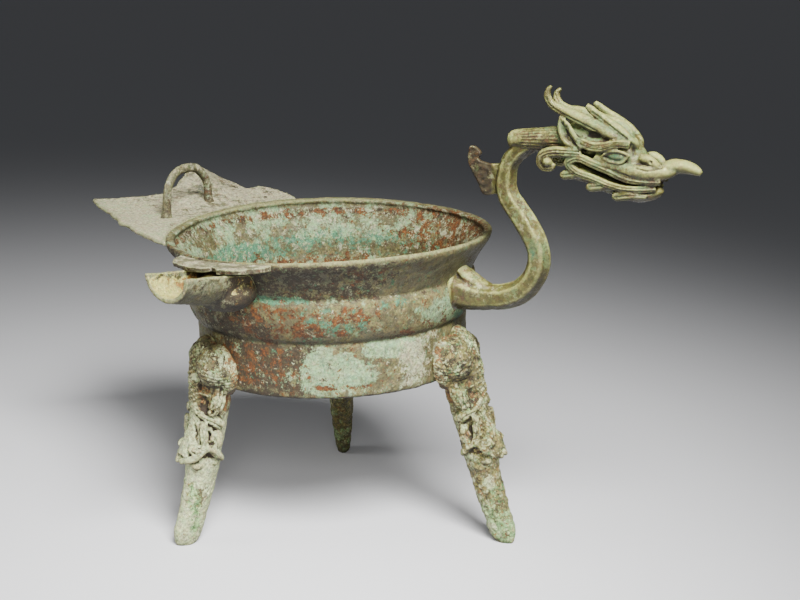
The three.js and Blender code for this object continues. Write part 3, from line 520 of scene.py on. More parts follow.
def patina(name, metal, worn_and_lit, layers, roughness=(0.5, 0.8), pitting=0.8, speckle=0.6):
    """A bronze with its crusts. metal is a pair of colours, the worn pair goes on rubbed ridges and, as
    painted light, on tops where a mask asks for it, and each layer is (mask name, first colour,
    second colour, noise scale, spread). Hollows get dirt with painted shade, and faces turned down
    painted shade."""
    material = bpy.data.materials.new(name)
    material.use_nodes = True
    tree = material.node_tree
    shader = tree.nodes["Principled BSDF"]

    def mask(label):
        return add_node(tree, "Attribute", attribute_name=label).outputs["Fac"]

    colour = blotches(tree, metal, METAL_SCALE)
    covered = 0.0
    for label, first, second, scale, spread in layers:
        crumbs = crumbled(tree, mask(label), scale, spread, CRUMB_SOFTNESS)
        colour = blend(tree, crumbs, colour, blotches(tree, (first, second), scale * BLOTCHES_PER_CRUMB))
        covered = add_node(tree, "Math", {0: crumbs, 1: covered}, operation="MAXIMUM").outputs[0]
    # Rubbed ridges, and tops painted paler as painted light where a mask asks for it
    rubbed_and_lit = crumbled(tree, mask("ridge"), scale=200.0, spread=1.1, softness=0.3)
    colour = blend(tree, rubbed_and_lit, colour, blotches(tree, worn_and_lit, WORN_SCALE))
    # Dirt and painted shade in the hollows
    dirt_and_shade = crumbled(tree, mask("hollow_dirt_and_shade"), scale=320.0, spread=1.0, softness=0.3)
    colour = blend(tree, dirt_and_shade, colour, DIRT_AND_SHADE)
    place = add_node(tree, "TexCoord").outputs["Object"]
    specks = noise(tree, place, scale=620.0, detail=5.0, roughness=0.8)
    shade = add_node(tree, "MapRange", {"Value": specks.outputs["Fac"], "From Min": 0.34, "From Max": 0.66,
                                        "To Min": 1 - speckle, "To Max": 1 + speckle * 0.8}, clamp=False)
    colour = blend(tree, 1.0, colour, shade.outputs["Result"], blend_type="MULTIPLY")
    tints = noise(tree, place, scale=340.0, detail=6.0, roughness=0.75)
    colour = blend(tree, TINT_SHARE, colour, tints.outputs["Color"], blend_type="OVERLAY")
    # Painted shade: faces turned down are darkened
    colour = blend(tree, mask("painted_underside_shade"), colour, UNDERSIDE_SHADE, blend_type="MULTIPLY")
    colour = blend(tree, 1.0, colour, GREEN_GLASS, blend_type="MULTIPLY")
    tree.links.new(colour, shader.inputs["Base Color"])
    grain = noise(tree, place, scale=900.0, detail=6.0, roughness=0.7)
    pits = noise(tree, place, scale=330.0, detail=4.0, roughness=0.65)
    height = sum_of(tree, (grain.outputs["Fac"], 0.5), (pits.outputs["Fac"], 1.0), (covered, 0.25))
    bump = add_node(tree, "Bump", {"Height": height, "Strength": pitting, "Distance": PIT_DEPTH})
    tree.links.new(bump.outputs["Normal"], shader.inputs["Normal"])
    rough = add_node(tree, "MapRange", {"Value": covered, "To Min": roughness[0], "To Max": roughness[1]})
    tree.links.new(rough.outputs["Result"], shader.inputs["Roughness"])
    shader.inputs["Metallic"].default_value = METALLIC
    return material


MINT = (ink(140, 170, 142), ink(172, 192, 164))
TEAL = (ink(74, 128, 112), ink(112, 162, 138))
RUST = (ink(150, 90, 38), ink(60, 42, 30))
CHALK = (ink(206, 206, 190), ink(166, 164, 144))
# Dark brown of soot-like metal; on the bowl it also carries painted shade
SOOT_AND_SHADE = (ink(56, 47, 37), ink(84, 70, 54))
OLIVE = (ink(122, 114, 80), ink(156, 146, 108))
print("crusts: mint, teal, rust, chalk, soot and olive")

# %% [markdown]
# Every piece is finished the same way. Its skin is moved along the normals by its own carving and
# by lumps of corrosion. Ridges and hollows are measured on the finished skin, so that rubbed
# edges come out bright and recesses hold dirt and painted shade; faces turned down get painted
# shade too. The masks are stored, and the piece takes over from its solid.


# %% Finish a piece
# Where ridges and hollows begin and are full, in millimetres off the near and the wide surroundings
RIDGE_NEAR, RIDGE_WIDE = (0.06, 0.45), (0.3, 1.6)
HOLLOW_NEAR, HOLLOW_WIDE = (0.04, 0.35), (0.2, 1.8)
WIDER = 6
# How far a face turns down before its painted shade begins and is full
FACES_DOWN = (-0.25, 0.9)


def finish_piece(name, mesh, carving, masks, material, nodes, moved=leaning, reach=10, dirt_and_shade=1):
    """Displaces the skin, stores the masks and hands the piece to the frame.
    carving(places, normals) gives millimetres outwards; masks(places, normals, bulge) gives a
    dictionary of values per point. moved turns the piece's own millimetres into the row frame's,
    reach is how many rounds of neighbours are its near surroundings, and the last argument is a
    share of the usual dirt and painted shade in hollows."""
    places, normals, edges = mesh_arrays(mesh)
    places = places + normals * carving(places, normals)[:, None]
    mesh.vertices.foreach_set("co", places.ravel())
    mesh.update()
    _, normals, _ = mesh_arrays(mesh)
    near = bulge(places, normals, edges, reach)
    wide = bulge(places, normals, edges, reach * WIDER)
    found = {
        "ridge": 0.7 * soft_step(near, *RIDGE_NEAR) + 0.25 * soft_step(wide, *RIDGE_WIDE),
        # Hollows hold dirt and get painted shade
        "hollow_dirt_and_shade": dirt_and_shade * (0.55 * soft_step(-near, *HOLLOW_NEAR) + 0.6 * soft_step(-wide, *HOLLOW_WIDE)),
        # Faces turned down get painted shade
        "painted_underside_shade": soft_step(-normals[:, 2], *FACES_DOWN)}
    found.update(masks(places, normals, near + wide))
    for label, values in found.items():
        store = mesh.attributes.new(label, "FLOAT", "POINT")
        store.data.foreach_set("value", np.ascontiguousarray(values, np.float32))
    mesh.vertices.foreach_set("co", (moved(places) * MM).ravel())
    mesh.update()
    mesh.polygons.foreach_set("use_smooth", np.ones(len(mesh.polygons), bool))
    mesh.materials.clear()
    mesh.materials.append(material)
    mesh.name = name
    piece = bpy.data.objects.new(name, mesh)
    bpy.context.collection.objects.link(piece)
    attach(piece, "root")
    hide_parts(*nodes)
    mesh.calc_loop_triangles()
    print(name, "has", len(mesh.loop_triangles), "triangles")


def patch(across, up, centre, half, ragged):
    """1 in the middle of an oval and 0 outside it, with an edge shifted by the ragged values."""
    far = np.hypot((across - centre[0]) / half[0], (up - centre[1]) / half[1])
    return 1 - soft_step(far + 0.45 * ragged, 0.55, 1.25)


print("a piece is carved, painted and handed over by one function")

# %% [markdown]
# The bowl is turned: one closed profile goes up the outside, over the lip and down the inside,
# and is carried round the axis. The lip hangs over inside, the neck flares, the belly is a band
# between two lines, and the lower wall stands on a sharp foot edge.

# %% Bowl profile
BOWL_STEPS = 400
UNDERSIDE = [(105.0, 0.0), (105.0, 85.6)]
OUTER_PROFILE = [
    (105.0, 85.6), (105.6, 86.5), (107.0, 87.0), (121.0, 87.4), (135.5, 87.5),
    (138.2, 87.1), (139.6, 86.9), (140.8, 88.2), (142.6, 89.8), (146.0, 91.4), (151.5, 93.2), (157.0, 94.0),
    (162.0, 94.2), (165.0, 93.7), (166.6, 92.7), (167.3, 91.9), (168.6, 92.2), (174.0, 94.6), (180.2, 98.2),
    (185.0, 101.6), (187.7, 103.7), (189.2, 104.6), (191, 105.2), (192.6, 105.2), (193.3, 104.4)]
INNER_PROFILE = [
    (193.3, 101.2), (192.8, 100.2), (190.9, 99.8), (190.2, 100.2), (189.6, 101.6), (184.0, 98.4),
    (180.2, 95.4), (174.0, 92.4), (168.6, 90.6), (164.0, 90.0), (157.0, 89.6), (148.0, 87.8), (142.0, 85.6),
    (134.0, 84.5), (118.0, 83.6), (112.0, 81.5), (109.0, 76.5)]
INSIDE_FLOOR = [(109.0, 76.5), (108.1, 60.0), (108.0, 0.0)]


def even_line(points, spacing):
    """The same outline in steps of about that length, its corners softened a little."""
    points = np.asarray(points, float)
    run = np.r_[0, np.cumsum(np.linalg.norm(np.diff(points, axis=0), axis=1))]
    at = np.linspace(0, run[-1], int(run[-1] / spacing) + 1)
    line = np.stack([np.interp(at, run, column) for column in points.T], -1)
    line[1:-1] = (line[:-2] + 4 * line[1:-1] + line[2:]) / 6
    return line


def rim_warp(angle, height):
    """The rim goes up and down twice round the bowl, more the higher up the wall."""
    swing = np.cos(2 * (angle - RIM_WARP_TOWARDS))
    return RIM_WARP * swing * soft_step(height, BELLY_HEIGHT, RIM_HEIGHT)


def turned(lines, steps):
    """Lines of (height, radius), end to end, carried round the upright axis they start and end on."""
    height, radius = np.vstack(lines).T
    angle = np.arange(steps) / steps * 2 * pi
    rings = np.stack([np.outer(radius, np.cos(angle)), np.outer(radius, np.sin(angle)),
                      np.outer(height, np.ones(steps))], -1)[1:-1]
    rings[..., 2] += rim_warp(angle, rings[..., 2])
    return skin(rings)


bowl_lines = [
    even_line(UNDERSIDE, 5)[:-1], even_line(OUTER_PROFILE, 0.95),
    even_line(INNER_PROFILE, 1.5)[1:-1], even_line(INSIDE_FLOOR, 5)]
bowl_mesh = new_mesh("bowl", [turned(bowl_lines, BOWL_STEPS)])
print("bowl skin:", len(bowl_mesh.vertices), "points")

# %% [markdown]
# Behind the spout the wall is pierced, so that the bowl can pour. The hole can't be seen, because
# the spout's hood hides it, and an oval is the least that would work. It is cut as a drill would
# cut it: an oval bar goes through the wall, and what lies inside the bar is taken away. The same
# bar opens the back of the spout later.

# %% Way into the spout
SPOUT_TOWARDS = radians(262)
PASSAGE_HEIGHT = 174
PASSAGE_HALF_WIDTH = 9
PASSAGE_HALF_HEIGHT = 6
PASSAGE_REACH = (80, 90, 104)


def around_bowl(radius, angle, height):
    """A place on the bowl's own axes from radius, angle and height."""
    return np.array([radius * cos(angle), radius * sin(angle), height])


def cut(mesh, shell):
    """The mesh without what lies inside the shell."""
    tool = bpy.data.objects.new("cutter", new_mesh("cutter", [shell]))
    bpy.context.collection.objects.link(tool)
    made = with_modifier(mesh, "BOOLEAN", object=tool, operation="DIFFERENCE", solver="MANIFOLD")
    bpy.data.objects.remove(tool)
    return made


passage_across = around_bowl(1, SPOUT_TOWARDS + pi / 2, 0)
passage_line = [around_bowl(radius, SPOUT_TOWARDS, PASSAGE_HEIGHT) for radius in PASSAGE_REACH]
passage_stops = [(*place, PASSAGE_HALF_HEIGHT, PASSAGE_HALF_WIDTH) for place in passage_line]
passage = bar(passage_stops, passage_across, sections=12, sides=32)
bowl_mesh = cut(bowl_mesh, passage)
print("bowl with its passage:", len(bowl_mesh.vertices), "points")

# %% [markdown]
# Long burial has left a thick, uneven skin on the bowl. Brown soot-like metal covers the neck and
# the left of the lower wall, a rust band runs round the belly, mint and chalk crusts sit in the
# middle, and a blue-green band lies inside. The neck, the foot edge and a band under the lip inside
# are darkened further with painted shade. Each crust is a list of ovals on the unrolled wall, with
# ragged edges, over a weak even share of the same crust. So each stain can be moved by hand.

# %% Bowl patina
# The unrolled wall: millimetres round the bowl from the middle of the photographed side
UNROLLED_FROM = 300
UNROLLED_RADIUS = 90
INSIDE_RADIUS = 84
# Strength, then the middle round the bowl and up it, and the half-sizes
BOWL_MINT = [(1, 0, 121, 27, 18), (1, 38, 134, 30, 7), (1, 76, 152, 28, 13), (1, -190, 120, 60, 15)]
BOWL_CHALK = [(1, 54, 121, 17, 14), (0.6, 66, 132, 14, 14)]
BOWL_RUST = [(1, -34, 153, 34, 12), (0.8, 4, 158, 30, 8), (1, 6, 148, 5, 4), (0.75, -55, 124, 34, 16),
             (1, 44, 143, 14, 4), (1, 90, 120, 12, 14), (1, -2, 112, 24, 2), (0.8, 86, 160, 9, 9)]
BOWL_TEAL = [(1, 6, 153, 20, 8), (1.3, -30, 168.5, 24, 2.5), (1, 92, 147, 12, 10), (0.5, 20, 163, 40, 4)]
BOWL_SOOT = [(0.72, -72, 152, 34, 15), (0.5, 84, 158, 14, 16)]
LOW_SOOT = [(0.82, -50, 122, 50, 24)]


def bowl_carving(places, normals):
    """Corrosion lumps everywhere and a few deeper pits."""
    depth = 0.28 * crust(places, 9, 4, 3) + 0.10 * crust(places, 2.6, 2, 11)
    pits = soft_step(lumps(places, 5, 21), 0.45, 0.8)
    return depth - 0.25 * pits


def stains(patches, across, up, ragged):
    """The strongest of several patches at each point."""
    found = []
    for strength, middle_across, middle_up, half_across, half_up in patches:
        oval = patch(across, up, (middle_across, middle_up), (half_across, half_up), ragged)
        found.append(strength * oval)
    return np.maximum.reduce(found)


def band(height, start, full, wane, end):
    """1 between the heights full and wane, 0 below start and above end."""
    return soft_step(height, start, full) * (1 - soft_step(height, wane, end))


def outer_crusts(across, z, ragged, fine):
    """The crusts outside: stains over an even share, a neck and foot edge dark with painted shade, a pale
    lip edge.
    """
    belly = band(z, 138, 142, 164, 168)
    neck = soft_step(z, 165, 168)
    low = 1 - soft_step(z, 136, 141)
    # The neck is brown metal darkened further as painted shade, less towards the right
    soot_and_shade = np.maximum(neck * (0.58 - 0.45 * soft_step(across, 15, 50)),
                      0.14 + low * stains(LOW_SOOT, across, z, ragged))
    soot_and_shade = np.maximum(soot_and_shade, stains(BOWL_SOOT, across, z, ragged))
    # Painted shade at the foot edge and underneath
    soot_and_shade = np.maximum(soot_and_shade, 0.75 * (1 - soft_step(z, 105.4, 107)))
    return {
        "mint": 0.12 + 0.68 * stains(BOWL_MINT, across, z, ragged) + 0.2 * ragged,
        "chalk": 0.05 + 0.67 * stains(BOWL_CHALK, across, z, ragged) + 0.12 * fine,
        "rust": 0.12 + 0.46 * stains(BOWL_RUST, across, z, ragged) + 0.18 * ragged,
        "teal": 0.1 + 0.42 * stains(BOWL_TEAL, across, z, ragged) + 0.12 * fine,
        "soot_and_shade": soot_and_shade * (1 - 0.7 * soft_step(z, 191.4, 192.6)) + 0.1 * fine,
        "olive": 0.4 + 0.3 * ragged + 0.2 * belly * soft_step(across, 20, 60)}


def inner_crusts(angle, z, ragged, fine):
    """The crusts inside: mint with a blue-green band, rust on the floor and the right, rust and painted
    shadow under the lip.
    """
    # Under the overhanging lip: rust, and a dark band of painted shadow
    under_lip = band(z, 180, 186, 187.5, 188.5)
    right_side = soft_step(-np.cos(np.radians(angle - 205)), 0.1, 0.8) * soft_step(z, 150, 165)
    on_floor = 0.5 * (1 - soft_step(z, 150, 162))
    return {
        "mint": 0.46 + 0.35 * ragged,
        "chalk": 0.16 + 0.12 * soft_step(z, 150, 185) + 0.15 * fine,
        "rust": np.maximum.reduce([0.55 * under_lip, on_floor + 0.1, 0.66 * right_side]) + 0.2 * ragged,
        "teal": 0.1 + band(z, 153, 161, 167, 177) * (0.5 + 0.5 * ragged),
        "soot_and_shade": 0.12 + 0.5 * under_lip,
        "olive": 0.35 + 0 * z}


def bowl_masks(places, normals, out):
    """Outer and inner crusts, rubbed ridges above the foot edge, and a lip rubbed on top."""
    x, y, z = places.T
    angle = np.degrees(np.arctan2(y, x)) % 360
    radius = np.hypot(x, y)
    faces_out = (normals[:, 0] * x + normals[:, 1] * y) / np.maximum(radius, 1) > 0
    outside = faces_out & (radius > INSIDE_RADIUS)
    across = np.radians((angle - UNROLLED_FROM + 180) % 360 - 180) * UNROLLED_RADIUS
    ragged = crust(places, 14, 4, 31)
    fine = crust(places, 5, 3, 41)
    outer = outer_crusts(across, z, ragged, fine)
    inner = inner_crusts(angle, z, ragged, fine)
    found = {label: np.where(outside, outer[label], inner[label]) for label in outer}
    found["olive"] = np.maximum(found["olive"], 0.6 * soft_step(z, 190.8, 192))
    lip = soft_step(z, 186, 188.5)
    ridges = 0.3 * soft_step(out, 0.9, 2.2) * soft_step(z, 106, 109)
    found["ridge"] = (1 - lip) * ridges + lip * (0.2 + 0.5 * soft_step(z, 192, 193.2))
    return found


bowl_bronze = patina(
    "bowl bronze", (ink(92, 84, 62), ink(122, 116, 88)), (ink(176, 172, 136), ink(150, 148, 112)),
    [("olive", *OLIVE, 160.0, 2.2), ("soot_and_shade", *SOOT_AND_SHADE, 170.0, 2.4), ("mint", *MINT, 130.0, 2.0),
     ("teal", *TEAL, 200.0, 2.6), ("rust", *RUST, 190.0, 2.8), ("chalk", *CHALK, 210.0, 2.8)])
finish_piece("bowl", bowl_mesh, bowl_carving, bowl_masks, bowl_bronze, ["bowl"], dirt_and_shade=0.4)

# %% [markdown]
# The leaf plate and the ledge over the spout are cast sheets that have torn. Each is a slab between
# an upper and a lower surface. Its reach from the rim is read from a few named stops round the
# bowl, and noise along the edge makes the tears. The leaf rises to one side, where it was bent up.

# %% Slabs on the rim
SEAT_GAP = 0.3
LEAF_TOWARDS = 180
LEAF_REACH = 87
LEAF_LIFT = 21
LEAF_THICKNESS = 3
# Degrees from the leaf's axis, share of its reach, share of its lift
LEAF_OUTLINE = np.array([
    (-47, 0.02, 0.05), (-42, 0.27, 0.22), (-38, 0.34, 0.30), (-34.5, 0.39, 0.22), (-31, 0.68, 0.52),
    (-27, 0.71, 0.88), (-24, 0.69, 1.0), (-20, 0.65, 0.76), (-16, 0.58, 0.58), (-10.4, 0.47, 0.48),
    (-7, 0.62, 0.37), (-3, 0.80, 0.35), (0, 1.0, 0.34), (6, 0.68, 0.17), (19, 0.33, 0.09), (30, 0.14, 0.02),
    (39, 0.02, 0)])


def slab(upper, lower, along_steps, out_steps):
    """A closed sheet: every ring goes out along the upper surface and back along the lower one."""
    along, out = np.meshgrid(np.linspace(0, 1, along_steps), np.linspace(0, 1, out_steps), indexing="ij")
    rings = np.concatenate([upper(along, out), lower(along, out)[:, ::-1]], axis=1)
    return skin(rings)


def on_rim(degrees, reach, height):
    """Places that far outside the rim, at those angles, and that far above it."""
    angle = np.radians(degrees)
    radius = RIM_RADIUS + SEAT_GAP + reach
    level = RIM_HEIGHT + rim_warp(angle, RIM_HEIGHT) + height
    return np.stack([radius * np.cos(angle), radius * np.sin(angle), level], -1)


def torn(degrees, size, seed):
    """Uneven values along an edge, from the lump field on a circle of the rim's size."""
    angle = np.radians(degrees)
    ring = np.stack([RIM_RADIUS * np.cos(angle), RIM_RADIUS * np.sin(angle), 0 * angle], -1)
    return crust(ring.reshape(-1, 3), size, 2, seed).reshape(degrees.shape)


def leaf_surface(drop, thinning):
    """Reach and lift read between the stops; the lift grows with the distance from the rim."""
    def surface(along, out):
        degrees = np.interp(along * (len(LEAF_OUTLINE) - 1), np.arange(len(LEAF_OUTLINE)),
                            LEAF_OUTLINE[:, 0])
        reach = LEAF_REACH * np.interp(degrees, LEAF_OUTLINE[:, 0], LEAF_OUTLINE[:, 1])
        reach = reach * (1 + 0.05 * torn(degrees, 5, 5) * np.cos(np.radians(degrees * 2)))
        lift = LEAF_LIFT * np.interp(degrees, LEAF_OUTLINE[:, 0], LEAF_OUTLINE[:, 2]) * out ** 1.1
        azimuth = LEAF_TOWARDS + degrees
        wave = 0.9 * np.sin(reach * out / 9 + degrees / 14) * out * (1 - out)
        return on_rim(azimuth, reach * out, lift + wave - drop * (1.3 - thinning * out))
    return surface


LEAF_VOXEL = 0.75
leaf_slab = slab(leaf_surface(0, 0), leaf_surface(LEAF_THICKNESS, 0.5), along_steps=420, out_steps=110)
leaf_mesh = fused("leaf plate", [leaf_slab], LEAF_VOXEL, 2)
print("leaf plate skin:", len(leaf_mesh.vertices), "points")

# %% [markdown]
# The plate, its loop and the ledge are of one metal, paler than the bowl's and beige rather than
# green. So they share one patina, and each piece only has its own places for the crusts. On the
# leaf a green edge and point, a blue-grey stain and a rust spot on the hump are ovals, measured in
# degrees along the rim and in millimetres out from it.

# %% Leaf plate and ledge patina
plate_bronze = patina(
    "plate bronze", (ink(122, 116, 98), ink(150, 144, 124)), (ink(192, 190, 166), ink(168, 166, 140)),
    [("olive", ink(118, 116, 92), ink(146, 142, 116), 170.0, 2.2),
     ("mint", ink(172, 190, 160), ink(202, 208, 184), 150.0, 2.2),
     ("soot_and_shade", ink(84, 76, 64), ink(104, 94, 80), 220.0, 2.4),
     ("teal", ink(86, 104, 112), ink(120, 134, 134), 200.0, 2.2),
     ("rust", ink(132, 86, 52), ink(100, 70, 50), 220.0, 2.4),
     ("chalk", ink(214, 206, 190), ink(190, 180, 166), 200.0, 2.6)])


def sheet_carving(places, normals):
    """Finely pitted, with a few dents."""
    return 0.22 * crust(places, 6, 3, 51) + 0.10 * crust(places, 1.8, 2, 61)


# Degrees from the leaf's axis and millimetres from the rim, then the half-sizes in the same units
LEAF_PATCHES = {
    "near edge": (20, 14, 18, 26), "point": (4, 55, 8, 40), "far edge": (-34, 22, 7, 26),
    "hump": (-17, 40, 5, 14), "hump flank": (-28, 40, 3, 8), "hump spot": (-30, 46, 2.2, 6),
    "seam": (10, 3, 22, 2)}


def leaf_masks(places, normals, out):
    """Pale green towards the near edge and the point, a blue-grey stain and a rust spot on the hump,
    and a darker underside that is painted shade.
    """
    x, y, z = places.T
    degrees = (np.degrees(np.arctan2(y, x)) - LEAF_TOWARDS + 180) % 360 - 180
    reach = np.hypot(x, y) - RIM_RADIUS
    ragged = crust(places, 12, 4, 71)
    on = {label: patch(degrees, reach, oval[:2], oval[2:], ragged) for label, oval in LEAF_PATCHES.items()}
    # Faces turned down are painted darker, as painted shade
    below = normals[:, 2] < 0
    return {
        "mint": np.maximum(on["near edge"], 0.8 * on["point"]) + 0.12 * ragged,
        "olive": np.where(below, 0.8, 0.35 + 0.3 * ragged),
        "soot_and_shade": np.where(below, 0.6, 0.5 * on["far edge"] + 0.08),
        "teal": 0.5 * on["hump"] + 0.3 * on["hump flank"] + 0.1,
        "rust": 0.85 * on["hump spot"] + 0.35 * on["seam"],
        "chalk": 0.7 + 0.25 * ragged}


finish_piece("leaf_plate", leaf_mesh, sheet_carving, leaf_masks, plate_bronze,
             ["leaf_plate"], dirt_and_shade=0.25)

# %% [markdown]
# Over the spout lies what is left of a small ledge. It is thicker than the leaf, with a bite out
# of its middle and a flap bent up at its left end. Its underside is set back a little, so that the
# broken edge throws a thin shadow.

# %% Ledge above the spout
LEDGE_TOWARDS = 263.5
LEDGE_ANGLE = 35
LEDGE_REACH = 18
LEDGE_THICKNESS = 4
LEDGE_SUNK = 0.8
LEDGE_UNDERCUT = 0.05
FLAP_RISE = 2
LEDGE_VOXEL = 0.5
# Share of the ledge's angle, share of its reach
LEDGE_OUTLINE = np.array([
    (0, 0.30), (0.05, 0.75), (0.12, 0.97), (0.26, 1.0), (0.38, 1.0), (0.44, 0.90), (0.50, 0.66),
    (0.545, 0.70), (0.60, 0.94), (0.74, 0.93), (0.80, 0.84), (0.86, 0.62), (0.97, 0.36), (1, 0.05)])


def ledge_surface(drop):
    """Reach read between the stops, with a flap bent up at the left end."""
    def surface(along, out):
        degrees = LEDGE_TOWARDS + LEDGE_ANGLE * (along - 0.5)
        reach = LEDGE_REACH * np.interp(along, LEDGE_OUTLINE[:, 0], LEDGE_OUTLINE[:, 1])
        reach = reach * (1 + 0.07 * torn(degrees, 5, 15))
        flap = FLAP_RISE * (1 - soft_step(along, 0, 0.3)) * out
        undercut = LEDGE_UNDERCUT * min(drop, 1)
        return on_rim(degrees, reach * out * (1 - undercut), flap - LEDGE_SUNK - drop * (1 - 0.2 * out))
    return surface


def ledge_masks(places, normals, out):
    """Lilac-beige above; darker underneath and along the broken edge, which is painted shade."""
    ragged = crust(places, 8, 4, 81)
    # Faces turned down and the broken edge are painted darker, as painted shade
    below = normals[:, 2] < 0.2
    return {
        "mint": 0.2 + 0.3 * ragged,
        "olive": np.where(below, 0.7, 0.3),
        "soot_and_shade": np.where(below, 0.7, 0.25 + 0.3 * ragged),
        "teal": 0 * ragged,
        "rust": 0.1 + 0.25 * ragged,
        "chalk": np.where(below, 0.2, 0.45 + 0.2 * ragged)}


ledge_slab = slab(ledge_surface(0), ledge_surface(LEDGE_THICKNESS), along_steps=160, out_steps=46)
ledge_mesh = fused("spout ledge", [ledge_slab], LEDGE_VOXEL, 2)
finish_piece("spout_ledge", ledge_mesh, sheet_carving, ledge_masks, plate_bronze,
             ["spout_ledge"])

# %% [markdown]
# The loop on the leaf is a flat bar bent to an arch, perhaps for a chain. Its feet are spread
# where they meet the plate. One bar runs through nine stops, which are shares of the span and of
# the rise, so that the arch keeps its shape when either changes.

# %% Loop on the leaf plate
LOOP_TOWARDS = radians(174)
LOOP_SPAN = 43
LOOP_RISE = 31
LOOP_HALF_BAR = 3.1
LOOP_OFFSET = 14.6
LOOP_SUNK = 2
LOOP_VOXEL = 0.5
loop_middle = around_bowl(RIM_RADIUS + LOOP_OFFSET, LOOP_TOWARDS, 0)
loop_aside = around_bowl(-1, LOOP_TOWARDS + pi / 2, 0)


def loop_stop(across, rise, high, wide):
    """Across is a share of half the span, and rise a share of the height above the plate."""
    place = loop_middle + loop_aside * LOOP_SPAN / 2 * across
    height = RIM_HEIGHT - LOOP_SUNK + (LOOP_RISE + LOOP_SUNK) * rise
    return (place[0], place[1], height, LOOP_HALF_BAR * high, LOOP_HALF_BAR * wide)


loop_stops = [loop_stop(*stop) for stop in [
    (-1.06, 0.02, 1.7, 1.5), (-1, 0.2, 1.05, 0.95), (-0.93, 0.62, 1, 0.8), (-0.54, 0.93, 1, 0.75),
    (0, 1, 1, 0.75), (0.54, 0.93, 1, 0.75), (0.95, 0.64, 1, 0.8), (1.02, 0.26, 1.05, 0.95),
    (1.06, 0.02, 1.7, 1.5)]]
loop_bar = bar(loop_stops, around_bowl(1, LOOP_TOWARDS, 0), sections=120, sides=24)
loop_mesh = fused("plate loop", [loop_bar], LOOP_VOXEL, 2)


def loop_masks(places, normals, out):
    """Worn pale on top and greener and darker towards the feet."""
    ragged = crust(places, 8, 4, 91)
    low = 1 - soft_step(places[:, 2], 198, 214)
    return {
        "mint": 0.3 + 0.4 * ragged,
        "olive": 0.5 + 0.4 * low,
        "soot_and_shade": 0.25 + 0.45 * low + 0.2 * ragged,
        "teal": 0 * low,
        "rust": 0.15 + 0.3 * low * ragged,
        "chalk": 0.35 * (1 - low)}


finish_piece("plate_loop", loop_mesh, sheet_carving, loop_masks, plate_bronze,
             ["plate_loop"])

# %% [markdown]
# The spout is an open trough that closes into a rounded hood where it meets the wall. It is fused
# from a bent sheet and an ellipsoid. A smaller ellipsoid cuts its throat, and the filled outline
# of the bowl cuts its back, so that it sits on the wall.

# %% Spout
SPOUT_LENGTH = 58
SPOUT_WALL = 2.6
# Width, height of the edges above the floor, and depth, at the root and at the mouth
SPOUT_ROOT = (39, 184, 23)
SPOUT_MOUTH = (31, 193, 16)
# How far the trough and the hood's root go into the wall
TROUGH_SUNK = 4
ROOT_SUNK = 0.4
HOOD_LENGTH = 17
SPOUT_VOXEL = 0.5
SPOUT_LAST_VOXEL = 0.55
outer_line = even_line(OUTER_PROFILE, 0.5)


def outer_radius(height):
    """The radius of the bowl's outside at these heights."""
    order = np.argsort(outer_line[:, 0], kind="stable")
    return np.interp(height, outer_line[order, 0], outer_line[order, 1])


spout_ahead = around_bowl(1, SPOUT_TOWARDS, 0)
wall_here = float(outer_radius(PASSAGE_HEIGHT))


def trough_surface(inset):
    """Half an ellipse from edge to edge, narrower and shallower towards the mouth."""
    def surface(share, around):
        shares = (share ** 0.5, share, share)
        width, top, depth = (root + (mouth - root) * part
                             for root, mouth, part in zip(SPOUT_ROOT, SPOUT_MOUTH, shares))
        half, depth = width / 2 - inset, depth - inset
        flare = 1.2 * soft_step(share, 0.85, 1)
        distance = wall_here - TROUGH_SUNK + (SPOUT_LENGTH + TROUGH_SUNK) * share
        angle = pi * around
        return (spout_ahead * distance[..., None]
                - passage_across * ((half + flare) * np.cos(angle))[..., None]
                + np.array([0, 0, 1]) * (top - depth * np.sin(angle))[..., None])
    return surface


def spout_ellipsoid(outwards, long, wide, high):
    """An ellipsoid on the spout's line, that far outside the wall."""
    places, faces = ball((0, 0, 0), (long, wide, high), steps=28)
    turn = np.array(Matrix.Rotation(SPOUT_TOWARDS, 3, "Z"))
    return places @ turn.T + around_bowl(wall_here + outwards, SPOUT_TOWARDS, PASSAGE_HEIGHT), faces


trough = slab(trough_surface(SPOUT_WALL), trough_surface(0), along_steps=60, out_steps=70)
hood = spout_ellipsoid(HOOD_LENGTH / 2, HOOD_LENGTH, SPOUT_ROOT[0] / 2 + 0.6, SPOUT_ROOT[2] / 2 + 1.2)
throat = spout_ellipsoid(HOOD_LENGTH, HOOD_LENGTH * 1.2, SPOUT_ROOT[0] / 2 - SPOUT_WALL,
                         SPOUT_ROOT[2] / 2 - SPOUT_WALL)
filled_lines = [[(104.7, 0)], np.array(OUTER_PROFILE) - (0, ROOT_SUNK), [(194, 104), (194, 0)]]
filled_bowl = turned(filled_lines, steps=240)
spout_mesh = fused("spout", [trough, hood], SPOUT_VOXEL, 1)
for cutter in (throat, filled_bowl, passage):
    spout_mesh = cut(spout_mesh, cutter)
spout_mesh = with_modifier(spout_mesh, "REMESH", mode="VOXEL", voxel_size=SPOUT_LAST_VOXEL)


